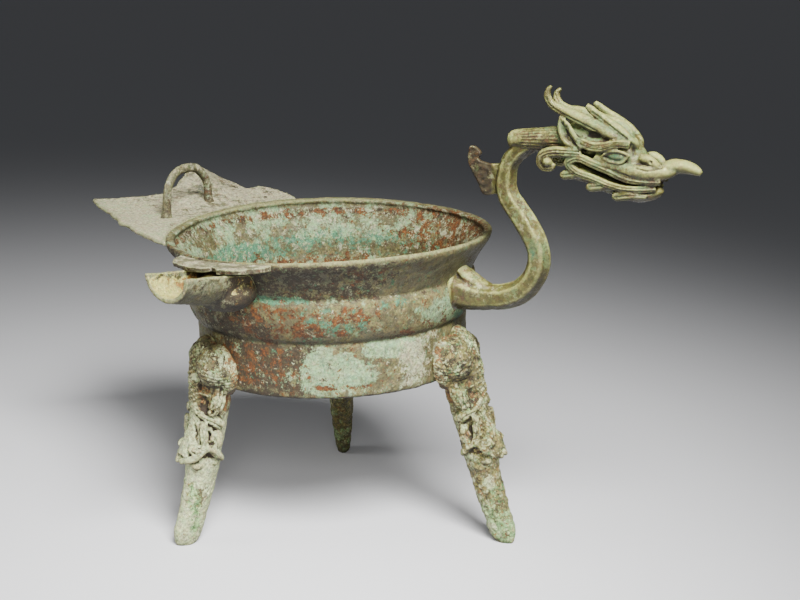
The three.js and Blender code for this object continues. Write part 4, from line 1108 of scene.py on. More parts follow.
def spout_masks(places, normals, out):
    """Yellow-green inside the trough with orange stains, speckled grey outside, a dark brown hood."""
    ahead = places @ spout_ahead - wall_here
    ragged = crust(places, 8, 4, 101)
    fine = crust(places, 3, 3, 111)
    inside = soft_step(normals[:, 2], 0.05, 0.3) * soft_step(ahead, 14, 20)
    root = 1 - soft_step(ahead, 14, 30)
    orange = inside * (0.35 + 0.4 * soft_step(-ahead, -44, -20))
    return {
        "mint": inside * 0.75 + 0.12 + 0.2 * fine * (1 - inside),
        "olive": 0.5 - 0.3 * inside,
        "soot_and_shade": np.clip(root * 1.3 + 0.3 * (1 - inside) + 0.2 * ragged - inside, 0, 1),
        "teal": 0 * root,
        "rust": orange * (0.7 + ragged) + root * 0.25,
        "chalk": (1 - inside) * (0.54 + 0.3 * fine) * (1 - 0.9 * root)}


spout_bronze = patina(
    "spout bronze", (ink(84, 78, 58), ink(120, 114, 86)), (ink(186, 184, 150), ink(152, 150, 112)),
    [("olive", *OLIVE, 160.0, 2.2), ("soot_and_shade", *SOOT_AND_SHADE, 220.0, 2.4),
     ("mint", ink(200, 190, 116), ink(212, 204, 146), 120.0, 1.4),
     ("rust", ink(176, 138, 80), ink(140, 94, 54), 160.0, 2.2),
     ("chalk", ink(172, 172, 150), ink(138, 140, 116), 240.0, 3.0)])
finish_piece("spout", spout_mesh, sheet_carving, spout_masks, spout_bronze, ["spout"])

# %% [markdown]
# Each leg is the same beast, climbing head down: broad haunches against the wall, a granulated back
# along the outside, hanging hind feet, and a lower head whose lip makes a gable over the plain
# shin. It is modelled once, in millimetres outwards, across and up, from bars and balls. The parts
# of one flank are mirrored to the other.

# %% Leg form
LEG_SPREAD = 31.5
LEG_HEIGHT = BASE_HEIGHT + 29
LEG_START = 86
HAUNCH_HALF = 24
SHIN_HALF = 8.2
SHIN_DEEP = 10.2
FEET_SHIFT = 3.5
LEG_VOXEL = 0.56


def leg_stops(stops):
    """Shares of the spread, the half-width and the height, turned into millimetres."""
    return [(LEG_START + LEG_SPREAD * out, HAUNCH_HALF * across, LEG_HEIGHT * up, high, wide)
            for out, across, up, high, wide in stops]


def leg_shells():
    """Trunk, back and the carved parts of both flanks."""
    half, deep, shin = HAUNCH_HALF, SHIN_DEEP, SHIN_HALF
    shells = [
        bar(leg_stops([
            (0.08, 0, 0.985, deep * 0.6, half * 0.5), (0.13, 0, 0.92, deep * 0.9, half * 0.68),
            (0.18, 0, 0.81, deep, half * 0.72), (0.238, 0, 0.709, deep * 1.3, half * 0.5),
            (0.298, 0, 0.634, deep * 1.2, half * 0.44), (0.40, 0, 0.545, deep * 1.2, half * 0.42),
            (0.48, 0, 0.468, deep * 1.15, half * 0.42), (0.535, 0, 0.396, deep * 1.12, shin * 1.15),
            (0.584, 0, 0.343, deep, shin * 1.06), (0.683, 0, 0.261, deep, shin),
            (0.816, 0, 0.157, deep * 0.9, shin * 0.86), (0.94, 0, 0.075, deep * 0.91, shin * 0.73),
            (0.994, 0, 0.03, deep * 0.8, shin * 0.62), (1.012, 0, 0.006, deep * 0.64, shin * 0.5),
            (1.016, 0, -0.012, deep * 0.36, shin * 0.3)]), sections=110, sides=32),
        bar(leg_stops([
            (0.06, 0, 1.0, deep * 0.4, half * 0.2), (0.20, 0, 0.985, deep * 0.5, half * 0.22),
            (0.36, 0, 0.92, deep * 0.58, half * 0.24), (0.45, 0, 0.80, deep * 0.62, half * 0.27),
            (0.49, 0, 0.62, deep * 0.68, half * 0.32), (0.62, 0, 0.53, deep * 0.7, half * 0.33),
            (0.79, 0, 0.478, deep * 0.62, half * 0.33), (0.93, 0, 0.445, deep * 0.42, half * 0.24)]),
            sections=90, sides=28)]
    shells += [ball((93.2, 12.2, 119), (12, 11.6, 14), 8, 28),
               ball((89.4, -11, 118), (9.6, 10.4, 13), 8, 28), ball((87.6, 11, 116), (8, 15, 17), 0, 28),
               ball((86, -10, 116), (6, 14, 16), 0, 28)]
    flank = [
        ball((88, 16, 106), (5, 5, 6), 0, 18),
        *strands([(91.4, 13.4, 107, 3.6, 3.6), (94.6, 14.6, 98.5, 4.3, 4.2), (97.6, 14, 91.8, 4, 3.8)], 3,
                 sections=24),
        ball((98, 13.6, 91), (4.4, 3.8, 2.6), 30),
        bar([(104.6, 2, 93.4, 3.2, 3), (102.6, 8, 89, 3.8, 3.2), (97.4, 11.4, 84.2, 4, 3.2),
             (92.4, 11, 79.6, 3.6, 3)], sections=30),
        bar([(104.4, 10.8, 84, 2.2, 2.6), (105.4, 11.6, 76, 2.7, 2.8), (105, 11.6, 68.5, 2.4, 2.4)],
            sections=30),
        ball((110.6, 7.6, 66.4), (4.6, 3.4, 3.4), 12, 20), ball((97.2, 11.4, 70.4), (4.4, 3.6, 7), -14, 20),
        *strands([(118.2, 1.4, 57.6, 1.9, 2.2), (112.2, 8.8, 60.6, 2.1, 2.5), (104, 12.4, 67, 2.1, 2.6),
                  (97.4, 12, 61.2, 2.1, 2.5), (94.2, 9.4, 57.6, 2.2, 2.3)], 2, (0, 0, 1), sections=60,
                 sides=14),
        ball((110, 7.6, 54.6), (3.6, 2.6, 2.6), 0, 16), ball((98.6, 8.4, 56), (2.8, 2, 2.6), 0, 14)]
    return shells + flank + [mirrored(shell) for shell in flank]


leg_mesh = fused("leg", leg_shells(), LEG_VOXEL, 4)
print("leg skin:", len(leg_mesh.vertices), "points")

# %% [markdown]
# What is finer than the wax forms is cut into the skin: grains on the back, fur, the claws, the Y
# and the long lines of the shin. Hollows between the forms are pressed in as ovals. A leg is then
# turned to its place. Its foot stays on the floor, its top leans with the bowl, and what would
# stand inside the bowl is pressed back to the wall.

# %% Leg carving and place
# Heights, and the shares of the spread at which the back's edge and the shin's middle lie there
SPINE_HEIGHTS, SPINE_OUT = [40, 80, 96, 117, 134], [0.80, 0.50, 0.46, 0.45, 0.2]
SHIN_HEIGHTS, SHIN_OUT = [0, 10, 21, 35, 46], [1.01, 0.94, 0.816, 0.683, 0.584]
# Hollows between the forms: outwards, up, half-width, half-height, depth
LEG_HOLLOWS = [(102.4, 94, 3.6, 8, 2.6), (108.4, 77, 1.5, 7.5, 1.9), (101, 71.5, 2.6, 6, 2.2),
               (103.4, 60.5, 5, 3.4, 1.6), (101, 105, 3, 4, 1.4), (93.6, 74, 1.4, 6, 1.2),
               (88.5, 96, 3, 8, 1.4)]
# Lines cut into the flanks: haunch, claws, folds, a curl and the outlines of the paws, outwards and up
LEG_LINES = [
    [(98.6, 130), (104.2, 122), (105.4, 112), (104.4, 103)], [(93, 92.6), (95.4, 89.8)],
    [(96.4, 94.2), (97.8, 90.4)], [(99.4, 95.2), (99.8, 91.6)],
    [(110, 90.6), (104.6, 86.4), (98, 82.2), (92.8, 77.6)], [(109.4, 94), (104.4, 90), (98, 86)],
    [(108.6, 66.4), (110.4, 69), (113.2, 68.6), (114.4, 66), (112, 64.2), (109.4, 64.8)],
    [(110.6, 66.6), (112.6, 66.8)], [(95.2, 76), (94.2, 70), (95.6, 65)],
    [(98.6, 75.6), (98.4, 69.6), (97.6, 65.4)], [(112.6, 86), (113.4, 78), (113.6, 72)],
    [(105.6, 80), (106.4, 74), (106.2, 69.4)], [(90, 128), (93, 122)], [(94, 130.4), (96.4, 124)]]


def leg_carving(places, normals, rough=1):
    """Grains on the back, fur, claws, a Y and long lines on the shin, and corrosion. A rough leg
    has stronger corrosion and weaker lines."""
    out, across, up = places.T
    spine = LEG_START + LEG_SPREAD * np.interp(up, SPINE_HEIGHTS, SPINE_OUT)
    back = soft_step(out - spine, 1.5, 5) * soft_step(up, 64, 74) * (1 - soft_step(np.abs(across), 9, 12))
    grains = np.sin(across * 2 * pi / 3.1) * np.sin((up + 0.5 * across) * 2 * pi / 3.3)
    shin = band(up, 6, 12, 40, 47)
    middle = LEG_START + LEG_SPREAD * np.interp(up, SHIN_HEIGHTS, SHIN_OUT)
    stem = np.abs(out - middle + 0.6 * np.sin(up / 5))
    arms = np.abs(np.abs(out - middle) - 0.42 * np.maximum(up - 27, 0))
    lines = np.where(up < 27, soft_step(-stem, -0.9, -0.2), soft_step(-arms, -1.0, -0.2))
    lines = lines * (np.abs(normals[:, 1]) > 0.5)
    fur = 0.5 * np.sin((out * 0.8 + up * 0.6) * 2 * pi / 2.3) * band(up, 47, 52, 98, 104)
    skin_lumps = 0.3 * crust(places, 6, 4, 121) + 0.2 * rough * crust(places, 2.2, 2, 131)
    flank = soft_step(np.abs(normals[:, 1]), 0.15, 0.5) * soft_step(np.abs(across), 3, 5)
    pressed = sum(depth * (1 - soft_step(np.hypot((out - x) / wide, (up - z) / high), 0.45, 1.1))
                  for x, z, wide, high, depth in LEG_HOLLOWS)
    round_haunch = np.hypot(out - 95, up - 127)
    arcs = np.sin(round_haunch * 2 * pi / 2.1) * band(round_haunch, 8, 11, 21, 24)
    arcs *= soft_step(up, 100, 104) * soft_step(across ** 2, 100, 160)
    drawn = groove(out, up, LEG_LINES, 0.85)
    return (skin_lumps + (0.42 + 0.3 * lumps(places, 4, 141)) * back * grains - 0.5 * shin * lines
            + 0.12 * fur * (1 - back) + 0.15 * arcs - flank * (pressed + 0.85 * drawn) / rough ** 0.5)


def leg_place(turn):
    """Turned round the bowl. Low points stand upright about the middle of the feet and high ones
    lean with the bowl. What would lie inside the bowl is pressed back to its wall."""
    spin = np.array(Matrix.Rotation(turn, 3, "Z"))
    stand = -FEET_SHIFT * np.array([cos(LEAN_TOWARDS), sin(LEAN_TOWARDS), 0])

    def moved(points):
        turned_points = points @ spin.T
        share = turned_points[:, 2:] / LEG_HEIGHT
        placed = (turned_points + stand) * (1 - share) + (turned_points @ lean_turn.T) * share
        placed[:, 2] = np.maximum(placed[:, 2], 0)
        return pressed_to_wall(placed + axis_shift)
    return moved


WALL_SUNK = 0.8


def pressed_to_wall(points):
    """Points inside the bowl's outline, in the row frame, go out to just under its surface."""
    own = (points - axis_shift) @ lean_turn
    radius = np.hypot(own[:, 0], own[:, 1])
    limit = outer_radius(np.clip(own[:, 2], BASE_HEIGHT + 1, RIM_HEIGHT)) - WALL_SUNK
    inside = (own[:, 2] > BASE_HEIGHT + 0.4) & (radius < limit) & (own[:, 2] < RIM_HEIGHT)
    own[inside, :2] *= (limit / np.maximum(radius, 1))[inside, None]
    return leaning(own)


print("a leg has", len(LEG_HOLLOWS), "hollows and", len(LEG_LINES), "cut lines on each flank")

# %% [markdown]
# The three legs have aged apart. The front one is pale and chalky with rust in its hollows, the
# back one is dark, and the one under the handle is between, with a green foot. The legs behind are
# more worn as well, so their skin is smoothed first and their lumps are made stronger. The one
# under the handle is the mirror image of the others.

# %% Leg patina, wear and finish
def leg_masks(pale, foot_green, seed):
    """Brown and rust near the wall, grey-tan above, pale and greenish on the shin."""
    def masks(places, normals, out):
        outwards, across, up = places.T
        ragged = crust(places, 9, 4, seed)
        fine = crust(places, 3, 3, seed + 9)
        low = 1 - soft_step(up, 72, 104)
        near_wall = (1 - soft_step(outwards, 84, 95)) * soft_step(up, 80, 95)
        recess = sum(1 - soft_step(np.hypot((outwards - x) / wide, (up - z) / high), 0.5, 1.2)
                     for x, z, wide, high, _ in LEG_HOLLOWS)
        recess *= soft_step(np.abs(across), 4, 6)
        in_recess = (0.1 + 0.35 * pale) * np.clip(recess, 0, 1)
        tinted = pale * patch(outwards, up, (113.5, 22), (4, 22), ragged) * (up < 46)
        green = foot_green * (1 - soft_step(up, 10, 30))
        dark = 0.2 * soft_step(up, 96, 118) + 0.4 * (1 - pale) * recess
        chalky = pale * (0.14 + 0.52 * low) - 0.5 * tinted - 0.4 * recess
        return {
            "mint": np.clip(0.25 + 0.3 * ragged + green + 0.5 * tinted, 0, 1),
            "olive": 0.4 + 0.3 * ragged + 0.3 * (1 - pale),
            "soot_and_shade": 0.3 + 0.3 * ragged * (1 - low) + dark,
            "teal": 0.12 + 0.3 * fine - 0.25 * pale + 0.5 * tinted,
            "rust": 0.14 + 0.25 * fine + 0.6 * near_wall + in_recess,
            "chalk": np.clip(0.2 + 0.3 * ragged + chalky, 0, 1)}
    return masks


leg_bronze = patina(
    "leg bronze", (ink(96, 88, 62), ink(128, 120, 86)), (ink(200, 196, 166), ink(172, 168, 134)),
    [("olive", ink(132, 122, 80), ink(160, 148, 100), 180.0, 2.2), ("soot_and_shade", *SOOT_AND_SHADE, 230.0, 2.8),
     ("mint", ink(142, 176, 130), ink(178, 200, 158), 150.0, 2.2),
     ("teal", ink(84, 122, 84), ink(116, 150, 100), 230.0, 2.6),
     ("rust", ink(150, 106, 66), ink(118, 82, 54), 200.0, 2.6),
     ("chalk", ink(206, 212, 188), ink(184, 188, 158), 210.0, 2.4)],
    pitting=0.9, speckle=0.75)
# Rounds of smoothing for each unit of roughness over one
WORN_AWAY = 9
# Node, degrees round the bowl, how pale, green of the foot, seed, -1 for the mirror image, roughness
LEGS = [("leg_under_handle", 0, 0.24, 0.7, 141, -1, 2.4), ("leg_back", 120, 0.0, 0.2, 161, 1, 1.6),
        ("leg_front", 240, 1.0, 0.15, 151, 1, 1.0)]
for name, degrees, pale, foot_green, seed, hand, rough in LEGS:
    one_leg = leg_mesh.copy()
    if hand < 0:
        one_leg.transform(Matrix.Diagonal((1, -1, 1, 1)))
        one_leg.flip_normals()
    # Plain averaging wears a casting down, and further than the smoothing that keeps its size
    if rough > 1:
        places, _, edges = mesh_arrays(one_leg)
        for _ in range(round(WORN_AWAY * (rough - 1))):
            places = 0.5 * (places + neighbour_mean(places, edges))
        one_leg.vertices.foreach_set("co", places.ravel())
        one_leg.update()
    finish_piece(name, one_leg, lambda places, normals: leg_carving(places, normals, rough),
                 leg_masks(pale, foot_green, seed), leg_bronze, [name],
                 moved=leg_place(radians(degrees)), dirt_and_shade=1 / rough ** 0.5)

# %% [markdown]
# The handle leaves the belly as a flared root, swings out and up in an S and carries the dragon's
# head. Its bar is faceted. A fin stands on the back of its neck. The head is built forwards from
# the back end of the mane: skull and snout, crown, horns, ears, brows, eyes, a double lip that
# loops round the corner of the mouth, a curled whisker and tufts of beard under the jaw.

# %% Handle bar and fin
HANDLE_REACH = 53
HANDLE_RISE = 97.3
HANDLE_HALF = 6.7
HANDLE_ROOT = BELLY_HEIGHT + 2.5
FIN_HALF = 1.5
HANDLE_VOXEL = 0.61
handle_start = float(outer_radius(HANDLE_ROOT))
# Reach share, rise share, half-height share, half-width share
HANDLE_STOPS = [
    (-0.13, 0.016, 1.78, 1.9), (0, 0.010, 1.70, 1.8), (0.19, -0.007, 1.35, 1.4), (0.39, -0.012, 1.10, 1.12),
    (0.585, 0.003, 1.09, 1.05), (0.775, 0.05, 1.04, 1), (0.91, 0.128, 0.99, 1), (0.98, 0.216, 1, 1),
    (0.985, 0.303, 0.99, 1), (0.935, 0.385, 1.01, 1), (0.84, 0.473, 1.03, 1), (0.735, 0.555, 1.0, 0.97),
    (0.635, 0.63, 0.97, 0.95), (0.59, 0.704, 0.92, 0.92), (0.60, 0.779, 0.86, 0.88),
    (0.63, 0.848, 0.80, 0.85), (0.735, 0.925, 0.78, 0.83), (0.89, 0.99, 0.85, 0.88)]
FIN_OUTLINE = [(0.62, 0.70), (0.47, 0.66), (0.31, 0.65), (0.24, 0.72), (0.17, 0.79), (0.12, 0.85),
               (0.15, 0.95), (0.22, 0.945), (0.28, 0.91), (0.25, 0.87), (0.34, 0.85), (0.46, 0.845),
               (0.62, 0.86)]


def on_handle(reach, rise):
    """Forwards and up, in millimetres, from shares of the handle's reach and rise."""
    return handle_start + HANDLE_REACH * reach, HANDLE_ROOT + HANDLE_RISE * rise


def fin_shell():
    """A flat plate: its outline once on each side, and a band of squares between."""
    line = np.array([on_handle(*stop) for stop in FIN_OUTLINE])
    line = smooth_path(np.c_[line, np.zeros(len(line))], 90)[:, :2]
    count = len(line)
    faces = [np.c_[line[:, 0], np.full(count, side), line[:, 1]] for side in (-FIN_HALF, FIN_HALF)]
    places = np.vstack(faces)
    here = np.arange(count)
    after = (here + 1) % count
    band = np.stack([here, here + count, after + count, after], -1)
    return places, [here.tolist(), (here[::-1] + count).tolist(), *band.tolist()]


handle_bar = bar([(x, 0, z, HANDLE_HALF * high, HANDLE_HALF * wide)
                  for (x, z), high, wide in ((on_handle(a, b), c, d) for a, b, c, d in HANDLE_STOPS)],
                 sections=220, sides=48, facets=6)
print("handle bar:", len(HANDLE_STOPS), "stops; fin outline:", len(FIN_OUTLINE), "points")

# %% [markdown]
# The head is a fusion of about forty bars and balls. Four of them lie in the middle plane: the
# mane's core, the skull and snout, the crest and the lower jaw. All others are made for one side
# and mirrored. The horn behind is made a little shorter, because its tip has broken off. Stops are
# millimetres from the mane's back end, which sits on the end of the bar.

# %% Dragon's head
HEAD_X, HEAD_Z = on_handle(0.63, 1)
FAR_TIP = 0.91


def middle(stops, **how):
    """A bar in the middle plane. Stops are forwards, up, half-height, half-width."""
    return bar([(HEAD_X + x, 0, HEAD_Z + z, high, half) for x, z, high, half in stops], **how)


def lateral(stops):
    """Stops on one side of the head: forwards, aside, up, half-height, half-width."""
    return [(HEAD_X + x, y, HEAD_Z + z, high, half) for x, y, z, high, half in stops]


# The lips, from the upper one's front end round the corner of the mouth: forwards, aside, up, half-height
LIP = [(97, 6.2, -19.2, 1.9), (87, 8.4, -19, 2.2), (77, 9.6, -17.4, 2.5), (67, 10.2, -13.4, 2.6),
       (57, 10.4, -9.8, 2.7), (48, 10.2, -7, 2.7), (41.8, 9.8, -10, 2.6), (46, 9.4, -15, 2.5),
       (57, 9.4, -18.6, 2.4), (66, 9.4, -21.6, 2.2), (75, 9.2, -23.6, 2.1), (84, 8.2, -24, 2.1),
       (94, 5.4, -23.4, 1.8)]


def head_side(tip):
    """Everything on one side of the head. tip shortens a broken horn."""
    lip = [(x, y, z, high, 2.4) for x, y, z, high in LIP]
    whisker = lateral([
        (50, 10.2, -4, 2.4, 2), (40.5, 10.6, -3.9, 3.2, 2.5), (32, 10.6, -4.2, 3.4, 2.8),
        (26, 10.4, -6.8, 3.3, 2.9), (24.2, 10.2, -10.6, 2.5, 2.6), (27, 10, -14, 2.2, 2.4),
        (31.6, 10, -13.6, 1.8, 2), (33, 10, -11, 1.2, 1.4)])
    brow = lateral([
        (46, 9.6, 4.5, 1.4, 1.4), (50, 10.4, 2.5, 2.4, 1.8), (56, 11, 0.4, 3.2, 2.1),
        (63, 11.4, 0.2, 2.9, 2.1), (70, 11.2, 2, 2.5, 2.1), (75, 10.6, 2.6, 2.5, 2.1),
        (79.5, 9.6, 2.0, 2.5, 2)])
    horn = lateral([
        (30.4, 7.4, 34 * tip, 1, 0.9), (28.4, 7.2, 31.6 * tip, 1.7, 1.6), (27.8, 7, 28 * tip, 2.3, 2.1),
        (30, 7, 24 * tip, 2.5, 2.2), (35.4, 7, 20.6 * tip, 2.9, 2.6), (43, 7.2, 17.6, 3.2, 3),
        (52, 7.6, 14, 3.7, 3.4), (61, 8, 10.2, 3.9, 3.6), (69, 8, 6.6, 3.2, 3.2), (76, 7.4, 3.6, 2, 2.4)])
    tine = lateral([(52, 6.6, 23.4, 1.5, 1.5), (54.4, 6.6, 21.4, 2.3, 2), (60, 6.8, 17.6, 2.5, 2.2),
                    (67, 7.2, 13, 3.1, 2.6), (74, 7.2, 8.4, 3, 2.8), (80, 6.4, 3.8, 1.6, 2),
                    (82.4, 5.4, 1.4, 0.8, 1)])
    cheek = lateral([(58, 8.8, -6.4, 3, 2.4), (68, 9.2, -10.8, 3.6, 2.8), (79, 8.8, -13.4, 4.4, 3.2),
                     (89, 7.2, -14.6, 4.6, 3.6), (98, 4.4, -14, 4.2, 3.4), (104, 2, -12.6, 3, 3)])
    ear_front = lateral([(36.6, 8.6, 16.6, 0.9, 0.9), (41.6, 10.6, 12, 1.5, 1.3),
                         (46.6, 11.4, 5.4, 1.6, 1.4), (50.4, 10.8, -1.6, 1.3, 1.3)])
    ear_back = lateral([(36.6, 8.6, 16.6, 0.9, 0.9), (36.4, 9.6, 9.5, 1.3, 1.2), (39.6, 10.2, 2.5, 1.4, 1.3),
                        (48, 10.4, -2, 1.3, 1.3)])
    ear_body = lateral([(37.8, 7.6, 13, 1.4, 1.1), (40.5, 8.2, 8.6, 3, 1.1), (43.8, 8.6, 3.6, 3.4, 1.2),
                        (48, 9, -1, 2, 1.4)])
    upper_lid = lateral([(62.5, 10.4, -5.8, 0.8, 0.9), (67, 11.6, -2.6, 0.9, 1.1),
                         (73, 11.8, -1.8, 0.9, 1.1), (79.6, 10.4, -4, 0.8, 0.9)])
    lower_lid = lateral([(62.5, 10.4, -5.8, 0.8, 0.9), (68, 11.4, -8, 0.8, 0.9), (75, 11.2, -8.4, 0.8, 0.9),
                         (79.6, 10.4, -4, 0.8, 0.9)])
    nostril = lateral([(83.6, 4.8, -7, 2.2, 2.4), (88, 5.8, -6.4, 2.9, 2.9), (92, 6, -8, 2.7, 2.8),
                       (95, 5, -11.4, 2.4, 2.6)])
    shells = [
        bar(lateral(lip), sections=150, sides=20), bar(whisker, sections=70, sides=24),
        bar(brow, sections=50, sides=16), bar(horn, sections=80, sides=22), bar(tine, sections=50),
        bar(cheek, sections=50, sides=24), bar(ear_front, sections=40, sides=12),
        bar(ear_back, sections=40, sides=12), bar(ear_body, sections=40, sides=14),
        bar(upper_lid, sections=30, sides=10), bar(lower_lid, sections=30, sides=10),
        bar(nostril, sections=30, sides=12), ball((HEAD_X + 71.6, 9.8, HEAD_Z - 5), (6.6, 2.4, 2.6), 6, 24),
        ball((HEAD_X + 29.4, 11.8, HEAD_Z - 10.2), (3, 3, 3), 0, 20),
        ball((HEAD_X + 79.6, 4, HEAD_Z + 1.2), (3.8, 3.4, 4.6), 0, 20),
        ball((HEAD_X + 92.5, 4.6, HEAD_Z - 19.6), (1.1, 1, 2), 0, 12)]
    for x, z in [(36.6, -18.4), (53, -24.6), (69, -29.2)]:
        tuft = lateral([(x, 8, z, 1.8, 1.7), (x + 2.4, 8.4, z + 0.5, 2.9, 2.4),
                        (x + 8, 8.4, z + 1.8, 3.6, 2.7), (x + 14, 7.8, z + 2, 2.9, 2.4),
                        (x + 20, 6.8, z + 1, 1.4, 1.4)])
        shells.append(bar(tuft, sections=30, sides=14))
    return shells


head_shells = [
    middle([(0, 0, 2.5, 2.5), (0.8, 0.1, 4.6, 4.6), (3, 0.2, 6, 6), (8, 0.4, 6.6, 6.6), (17, 0.8, 7.1, 7.1),
            (34, 2, 7.6, 7.8), (42, 2, 7, 7)], sections=60, sides=40),
    middle([(29, 1.5, 6.3, 6.3), (41, 2, 10, 8.6), (53, 2.2, 11, 9.6), (64, 1.2, 11.2, 9.6),
            (73, -2.4, 10.4, 9.2), (79, -7.4, 8.4, 8.6), (84, -12, 6.4, 8), (90, -14.2, 5.2, 7.2),
            (97, -13.2, 4.8, 6.4), (103, -10.9, 4.4, 5.4), (109, -10.6, 3.9, 4.6), (114.2, -11.8, 3.3, 3.9),
            (117.4, -13.4, 2.5, 3), (119, -14.6, 1.3, 1.8)],
           sections=120, sides=32),
    middle([(56, 15.6, 3.2, 2.6), (63, 13.4, 4.2, 3), (69, 11, 4.6, 3.2), (73.4, 7.4, 4.6, 3.4),
            (75.6, 3, 4.6, 3.4), (77.4, -1.6, 4.4, 3.6), (80, -5.6, 3, 4)], sections=50, sides=20),
    middle([(40, -12, 4.5, 6), (44, -17, 4.4, 6.6), (52, -19.4, 4, 7), (63, -24, 4, 7.2), (73, -27, 4, 7.2),
            (83, -28.4, 4.4, 7.4), (90, -27.2, 4, 6.6), (94, -26, 3, 5.2), (96, -25, 1.4, 3)], sections=60,
           sides=24),
    *head_side(1), *(mirrored(shell) for shell in head_side(FAR_TIP))]
root_flare = [
    bar([(handle_start - 2, 0, HANDLE_ROOT + 17, 2, 6), (handle_start + 4, 0, HANDLE_ROOT + 11.6, 4, 7.4),
         (handle_start + 12, 0, HANDLE_ROOT + 6, 4.6, 6.6), (handle_start + 24, 0, HANDLE_ROOT + 1, 4, 5)],
        sections=50),
    *[ball((handle_start - 2.2, side * 6, HANDLE_ROOT + 2), (3.4, 10, 12), 0, 28) for side in (-1, 1)]]
# The side with the whole horn was drawn away from the camera, so the head is turned over
turned_head = [mirrored(shell) for shell in head_shells]
handle_mesh = fused("dragon handle", [handle_bar, *root_flare, fin_shell(), *turned_head], HANDLE_VOXEL, 2)
print("handle skin:", len(handle_mesh.vertices), "points")

# %% [markdown]
# The chaser's work comes last: fine lines along lips, brow, whisker and horn, hollows between them,
# long cuts in the mane and a curl on the fin. Each line is drawn in the side view and pressed into
# whatever lies under it on the flank, so that it follows the wax forms.

# %% Handle carving
lip_line = [(x, z) for x, _, z, _ in LIP]
brow_line = [(48, 3.4), (56, 0.4), (63, 0.2), (70, 2), (79, 2)]
whisker_line = [(49, -4), (40.5, -3.8), (32, -4), (25.8, -6.6), (24.2, -10.6), (27, -14), (31.6, -13.6)]
horn_line = [(28.6, 28), (31, 24), (36, 20.8), (43, 17.6), (52, 14), (61, 10.2)]
HEAD_LINES = [
    beside(lip_line, 0.9), beside(lip_line, -0.9), beside(brow_line, 1.1), beside(brow_line, 0),
    beside(brow_line, -1.1), beside(whisker_line, 0.9), beside(whisker_line, -0.9), beside(horn_line, -1.2),
    [(56, 20), (64, 14.8), (72, 9.4), (79, 4.2)], [(39, 14), (41, 8), (45, 2.4)],
    [(38.2, -17.6), (46, -16.6)], [(55, -23.8), (63, -22.8)], [(71, -28.8), (80, -27.4), (88, -27.6)],
    [(73, -31), (82, -29.6)], [(62, -10.6), (72, -13.6), (82, -16.6)], [(84, -11), (90, -12.4), (98, -11)],
    [(76, -24.6), (86, -26.4), (93, -26)]]
# Forwards, up, half-width, half-height, depth
HEAD_HOLLOWS = [(57, 6.6, 6.5, 2.6, 1.6), (92, -7.6, 1.1, 1.3, 1.2), (52, -3.2, 5, 1.6, 0.9),
                (81, -2, 1.6, 4, 0.9), (41.4, 8.4, 2, 4.6, 0.9), (98, -20.6, 4, 0.9, 0.9),
                (86, -21.2, 5, 0.7, 0.9)]


def handle_carving(places, normals):
    """Long cuts along the mane, drawn lines and hollows on the flanks, a curl on the fin, light pitting."""
    x, y, z = places.T
    forwards, upwards = x - HEAD_X, z - HEAD_Z
    round_mane = np.arctan2(y, upwards - 0.03 * forwards)
    mane = soft_step(forwards, 9, 12) * (1 - soft_step(forwards, 33, 36)) * (np.hypot(y, upwards - 1) < 8.4)
    cuts = np.sin(round_mane * 23 + 1.5 * lumps(places, 8, 211)) * 0.2 * (1 + lumps(places, 6, 221))
    fin_x, fin_z = on_handle(0.30, 0.76)
    from_curl = np.hypot(x - fin_x, z - fin_z)
    curl = np.sin(from_curl * 2 * pi / 4.2 - np.arctan2(z - fin_z, x - fin_x))
    fin = (np.abs(y) < 2.4) * soft_step(-(x - on_handle(0.5, 0)[0]), 0, 3) * soft_step(z, 215, 222)
    side = soft_step(np.abs(normals[:, 1]), 0.2, 0.6) * soft_step(np.abs(y), 4, 6)
    drawn = groove(forwards, upwards, HEAD_LINES, 0.75) * side
    pressed = sum(depth * (1 - soft_step(np.hypot((forwards - a) / wide, (upwards - b) / high), 0.4, 1.1))
                  for a, b, wide, high, depth in HEAD_HOLLOWS) * side
    return (mane * cuts + 0.16 * fin * curl * (np.abs(normals[:, 1]) > 0.7) - 0.7 * drawn - pressed
            + 0.13 * crust(places, 5, 4, 171) + 0.07 * crust(places, 1.6, 2, 181))


print("the head has", len(HEAD_LINES), "cut lines and", len(HEAD_HOLLOWS), "hollows on each side")

# %% [markdown]
# The handle is the cleanest casting, because hands have rubbed it. Olive metal shows through thin
# crusts, ridges and the snout are worn to a pale yellow-green, and recesses keep brown dirt with
# painted shade. Tops facing up are painted paler as painted light, and the temple, the jaw and the
# faces turned down are painted darker as painted shade. The fin is almost black. One mint spot
# sits on the outer bend of the S.

# %% Handle patina and finish
def handle_place(points):
    """Leans with the bowl; the root is pressed to the wall."""
    return pressed_to_wall(leaning(points))


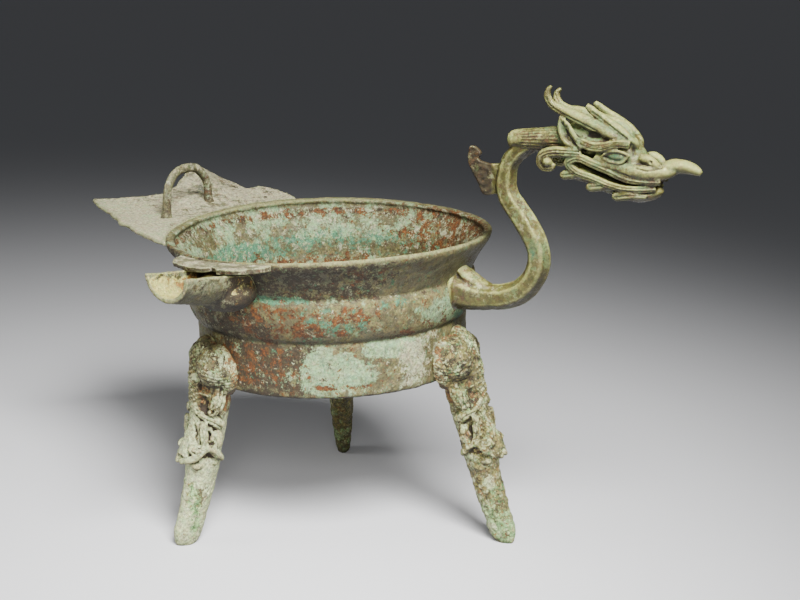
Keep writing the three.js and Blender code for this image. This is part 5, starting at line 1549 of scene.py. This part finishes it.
def handle_masks(places, normals, out):
    """Olive bronze rubbed pale on its ridges and painted light on its tops, brown in recesses, painted
    shade at the temple and the jaw, a dark fin and mint spots.
    """
    x, y, z = places.T
    forwards, upwards = x - HEAD_X, z - HEAD_Z
    ragged = crust(places, 9, 4, 191)
    fine = crust(places, 3, 3, 201)
    fin = soft_step(-(x - on_handle(0.45, 0)[0]), 0, 3) * soft_step(z, 215, 222)
    head = soft_step(forwards, 30, 44) * soft_step(upwards, -40, -30)
    mane = soft_step(forwards, 8, 12) * (1 - soft_step(forwards, 34, 38)) * soft_step(upwards, -12, -8)
    jaw = head * (1 - soft_step(upwards, -18, -8))
    eye = patch(forwards, upwards, (71.6, -5.4), (5, 2.4), 0 * x)
    spot_x, spot_z = on_handle(0.93, 0.32)
    spot = patch(x, z, (spot_x, spot_z), (5, 7), ragged)
    root = 1 - soft_step(x, 100, 116)
    snout = soft_step(forwards, 82, 90) * soft_step(upwards, -19, -16)
    whisker = patch(forwards, upwards, (33, -8), (14, 7), 0 * x) * head
    ribbon = patch(forwards, upwards, (62, 1.6), (16, 2.6), 0 * x)
    # The hollow between horn and brow is painted dark, as painted shade
    temple = patch(forwards, upwards, (57, 6.6), (8, 3.4), 0 * x)
    # Faces turned up, which are painted paler as painted light
    top = soft_step(normals[:, 2], 0.3, 0.9)
    # Fin, mane, whisker and root are dark metal; the temple and the jaw are darkened as painted shade
    dark = 0.85 * fin + 0.42 * mane + 0.6 * temple + 0.34 * whisker + 0.25 * root + 0.22 * jaw - 0.2 * snout
    green = 0.28 * head + 0.2 * soft_step(upwards, 2, 10) + 0.7 * spot - 0.3 * fin
    # Rubbed ridges, plus tops painted paler as painted light
    rubbed_and_lit = 0.5 * soft_step(out, 0.1, 0.8) + 0.14 * top * (1 - 0.6 * mane)
    return {
        "ridge": rubbed_and_lit * (1 - 0.8 * fin) + 0.25 * snout,
        # The head's faces turned down get a stronger painted shade
        "painted_underside_shade": soft_step(-normals[:, 2], -0.55, 0.55),
        "olive": 0.55 + 0.3 * ragged,
        "soot_and_shade": 0.18 + 0.3 * ragged + dark,
        "mint": 0.2 + 0.42 * ragged + green,
        "teal": 0.2 * fine + 0.12 * head + 0.6 * spot + 0.5 * eye,
        "rust": 0.12 + 0.25 * fine + 0.15 * mane + 0.16 * jaw + 0.25 * root + 0.4 * ribbon,
        "chalk": 0.16 + 0.25 * fine - 0.12 * mane + 0.2 * root * (normals[:, 2] > 0.2) + 0.35 * snout}


handle_bronze = patina(
    "handle bronze", (ink(98, 90, 54), ink(124, 118, 72)), (ink(214, 214, 150), ink(190, 188, 124)),
    [("olive", ink(112, 106, 60), ink(140, 134, 82), 150.0, 2.0),
     ("soot_and_shade", ink(70, 58, 42), ink(90, 76, 56), 210.0, 2.4),
     ("mint", ink(120, 142, 102), ink(152, 166, 122), 140.0, 1.8),
     ("teal", ink(84, 134, 106), ink(110, 154, 122), 210.0, 2.2),
     ("rust", ink(130, 96, 66), ink(108, 80, 58), 210.0, 2.4),
     ("chalk", ink(190, 188, 154), ink(166, 164, 130), 220.0, 2.4)],
    roughness=(0.32, 0.6), pitting=0.5, speckle=0.34)
finish_piece("dragon_handle", handle_mesh, handle_carving, handle_masks, handle_bronze,
             ["dragon_handle"], moved=handle_place, reach=8)
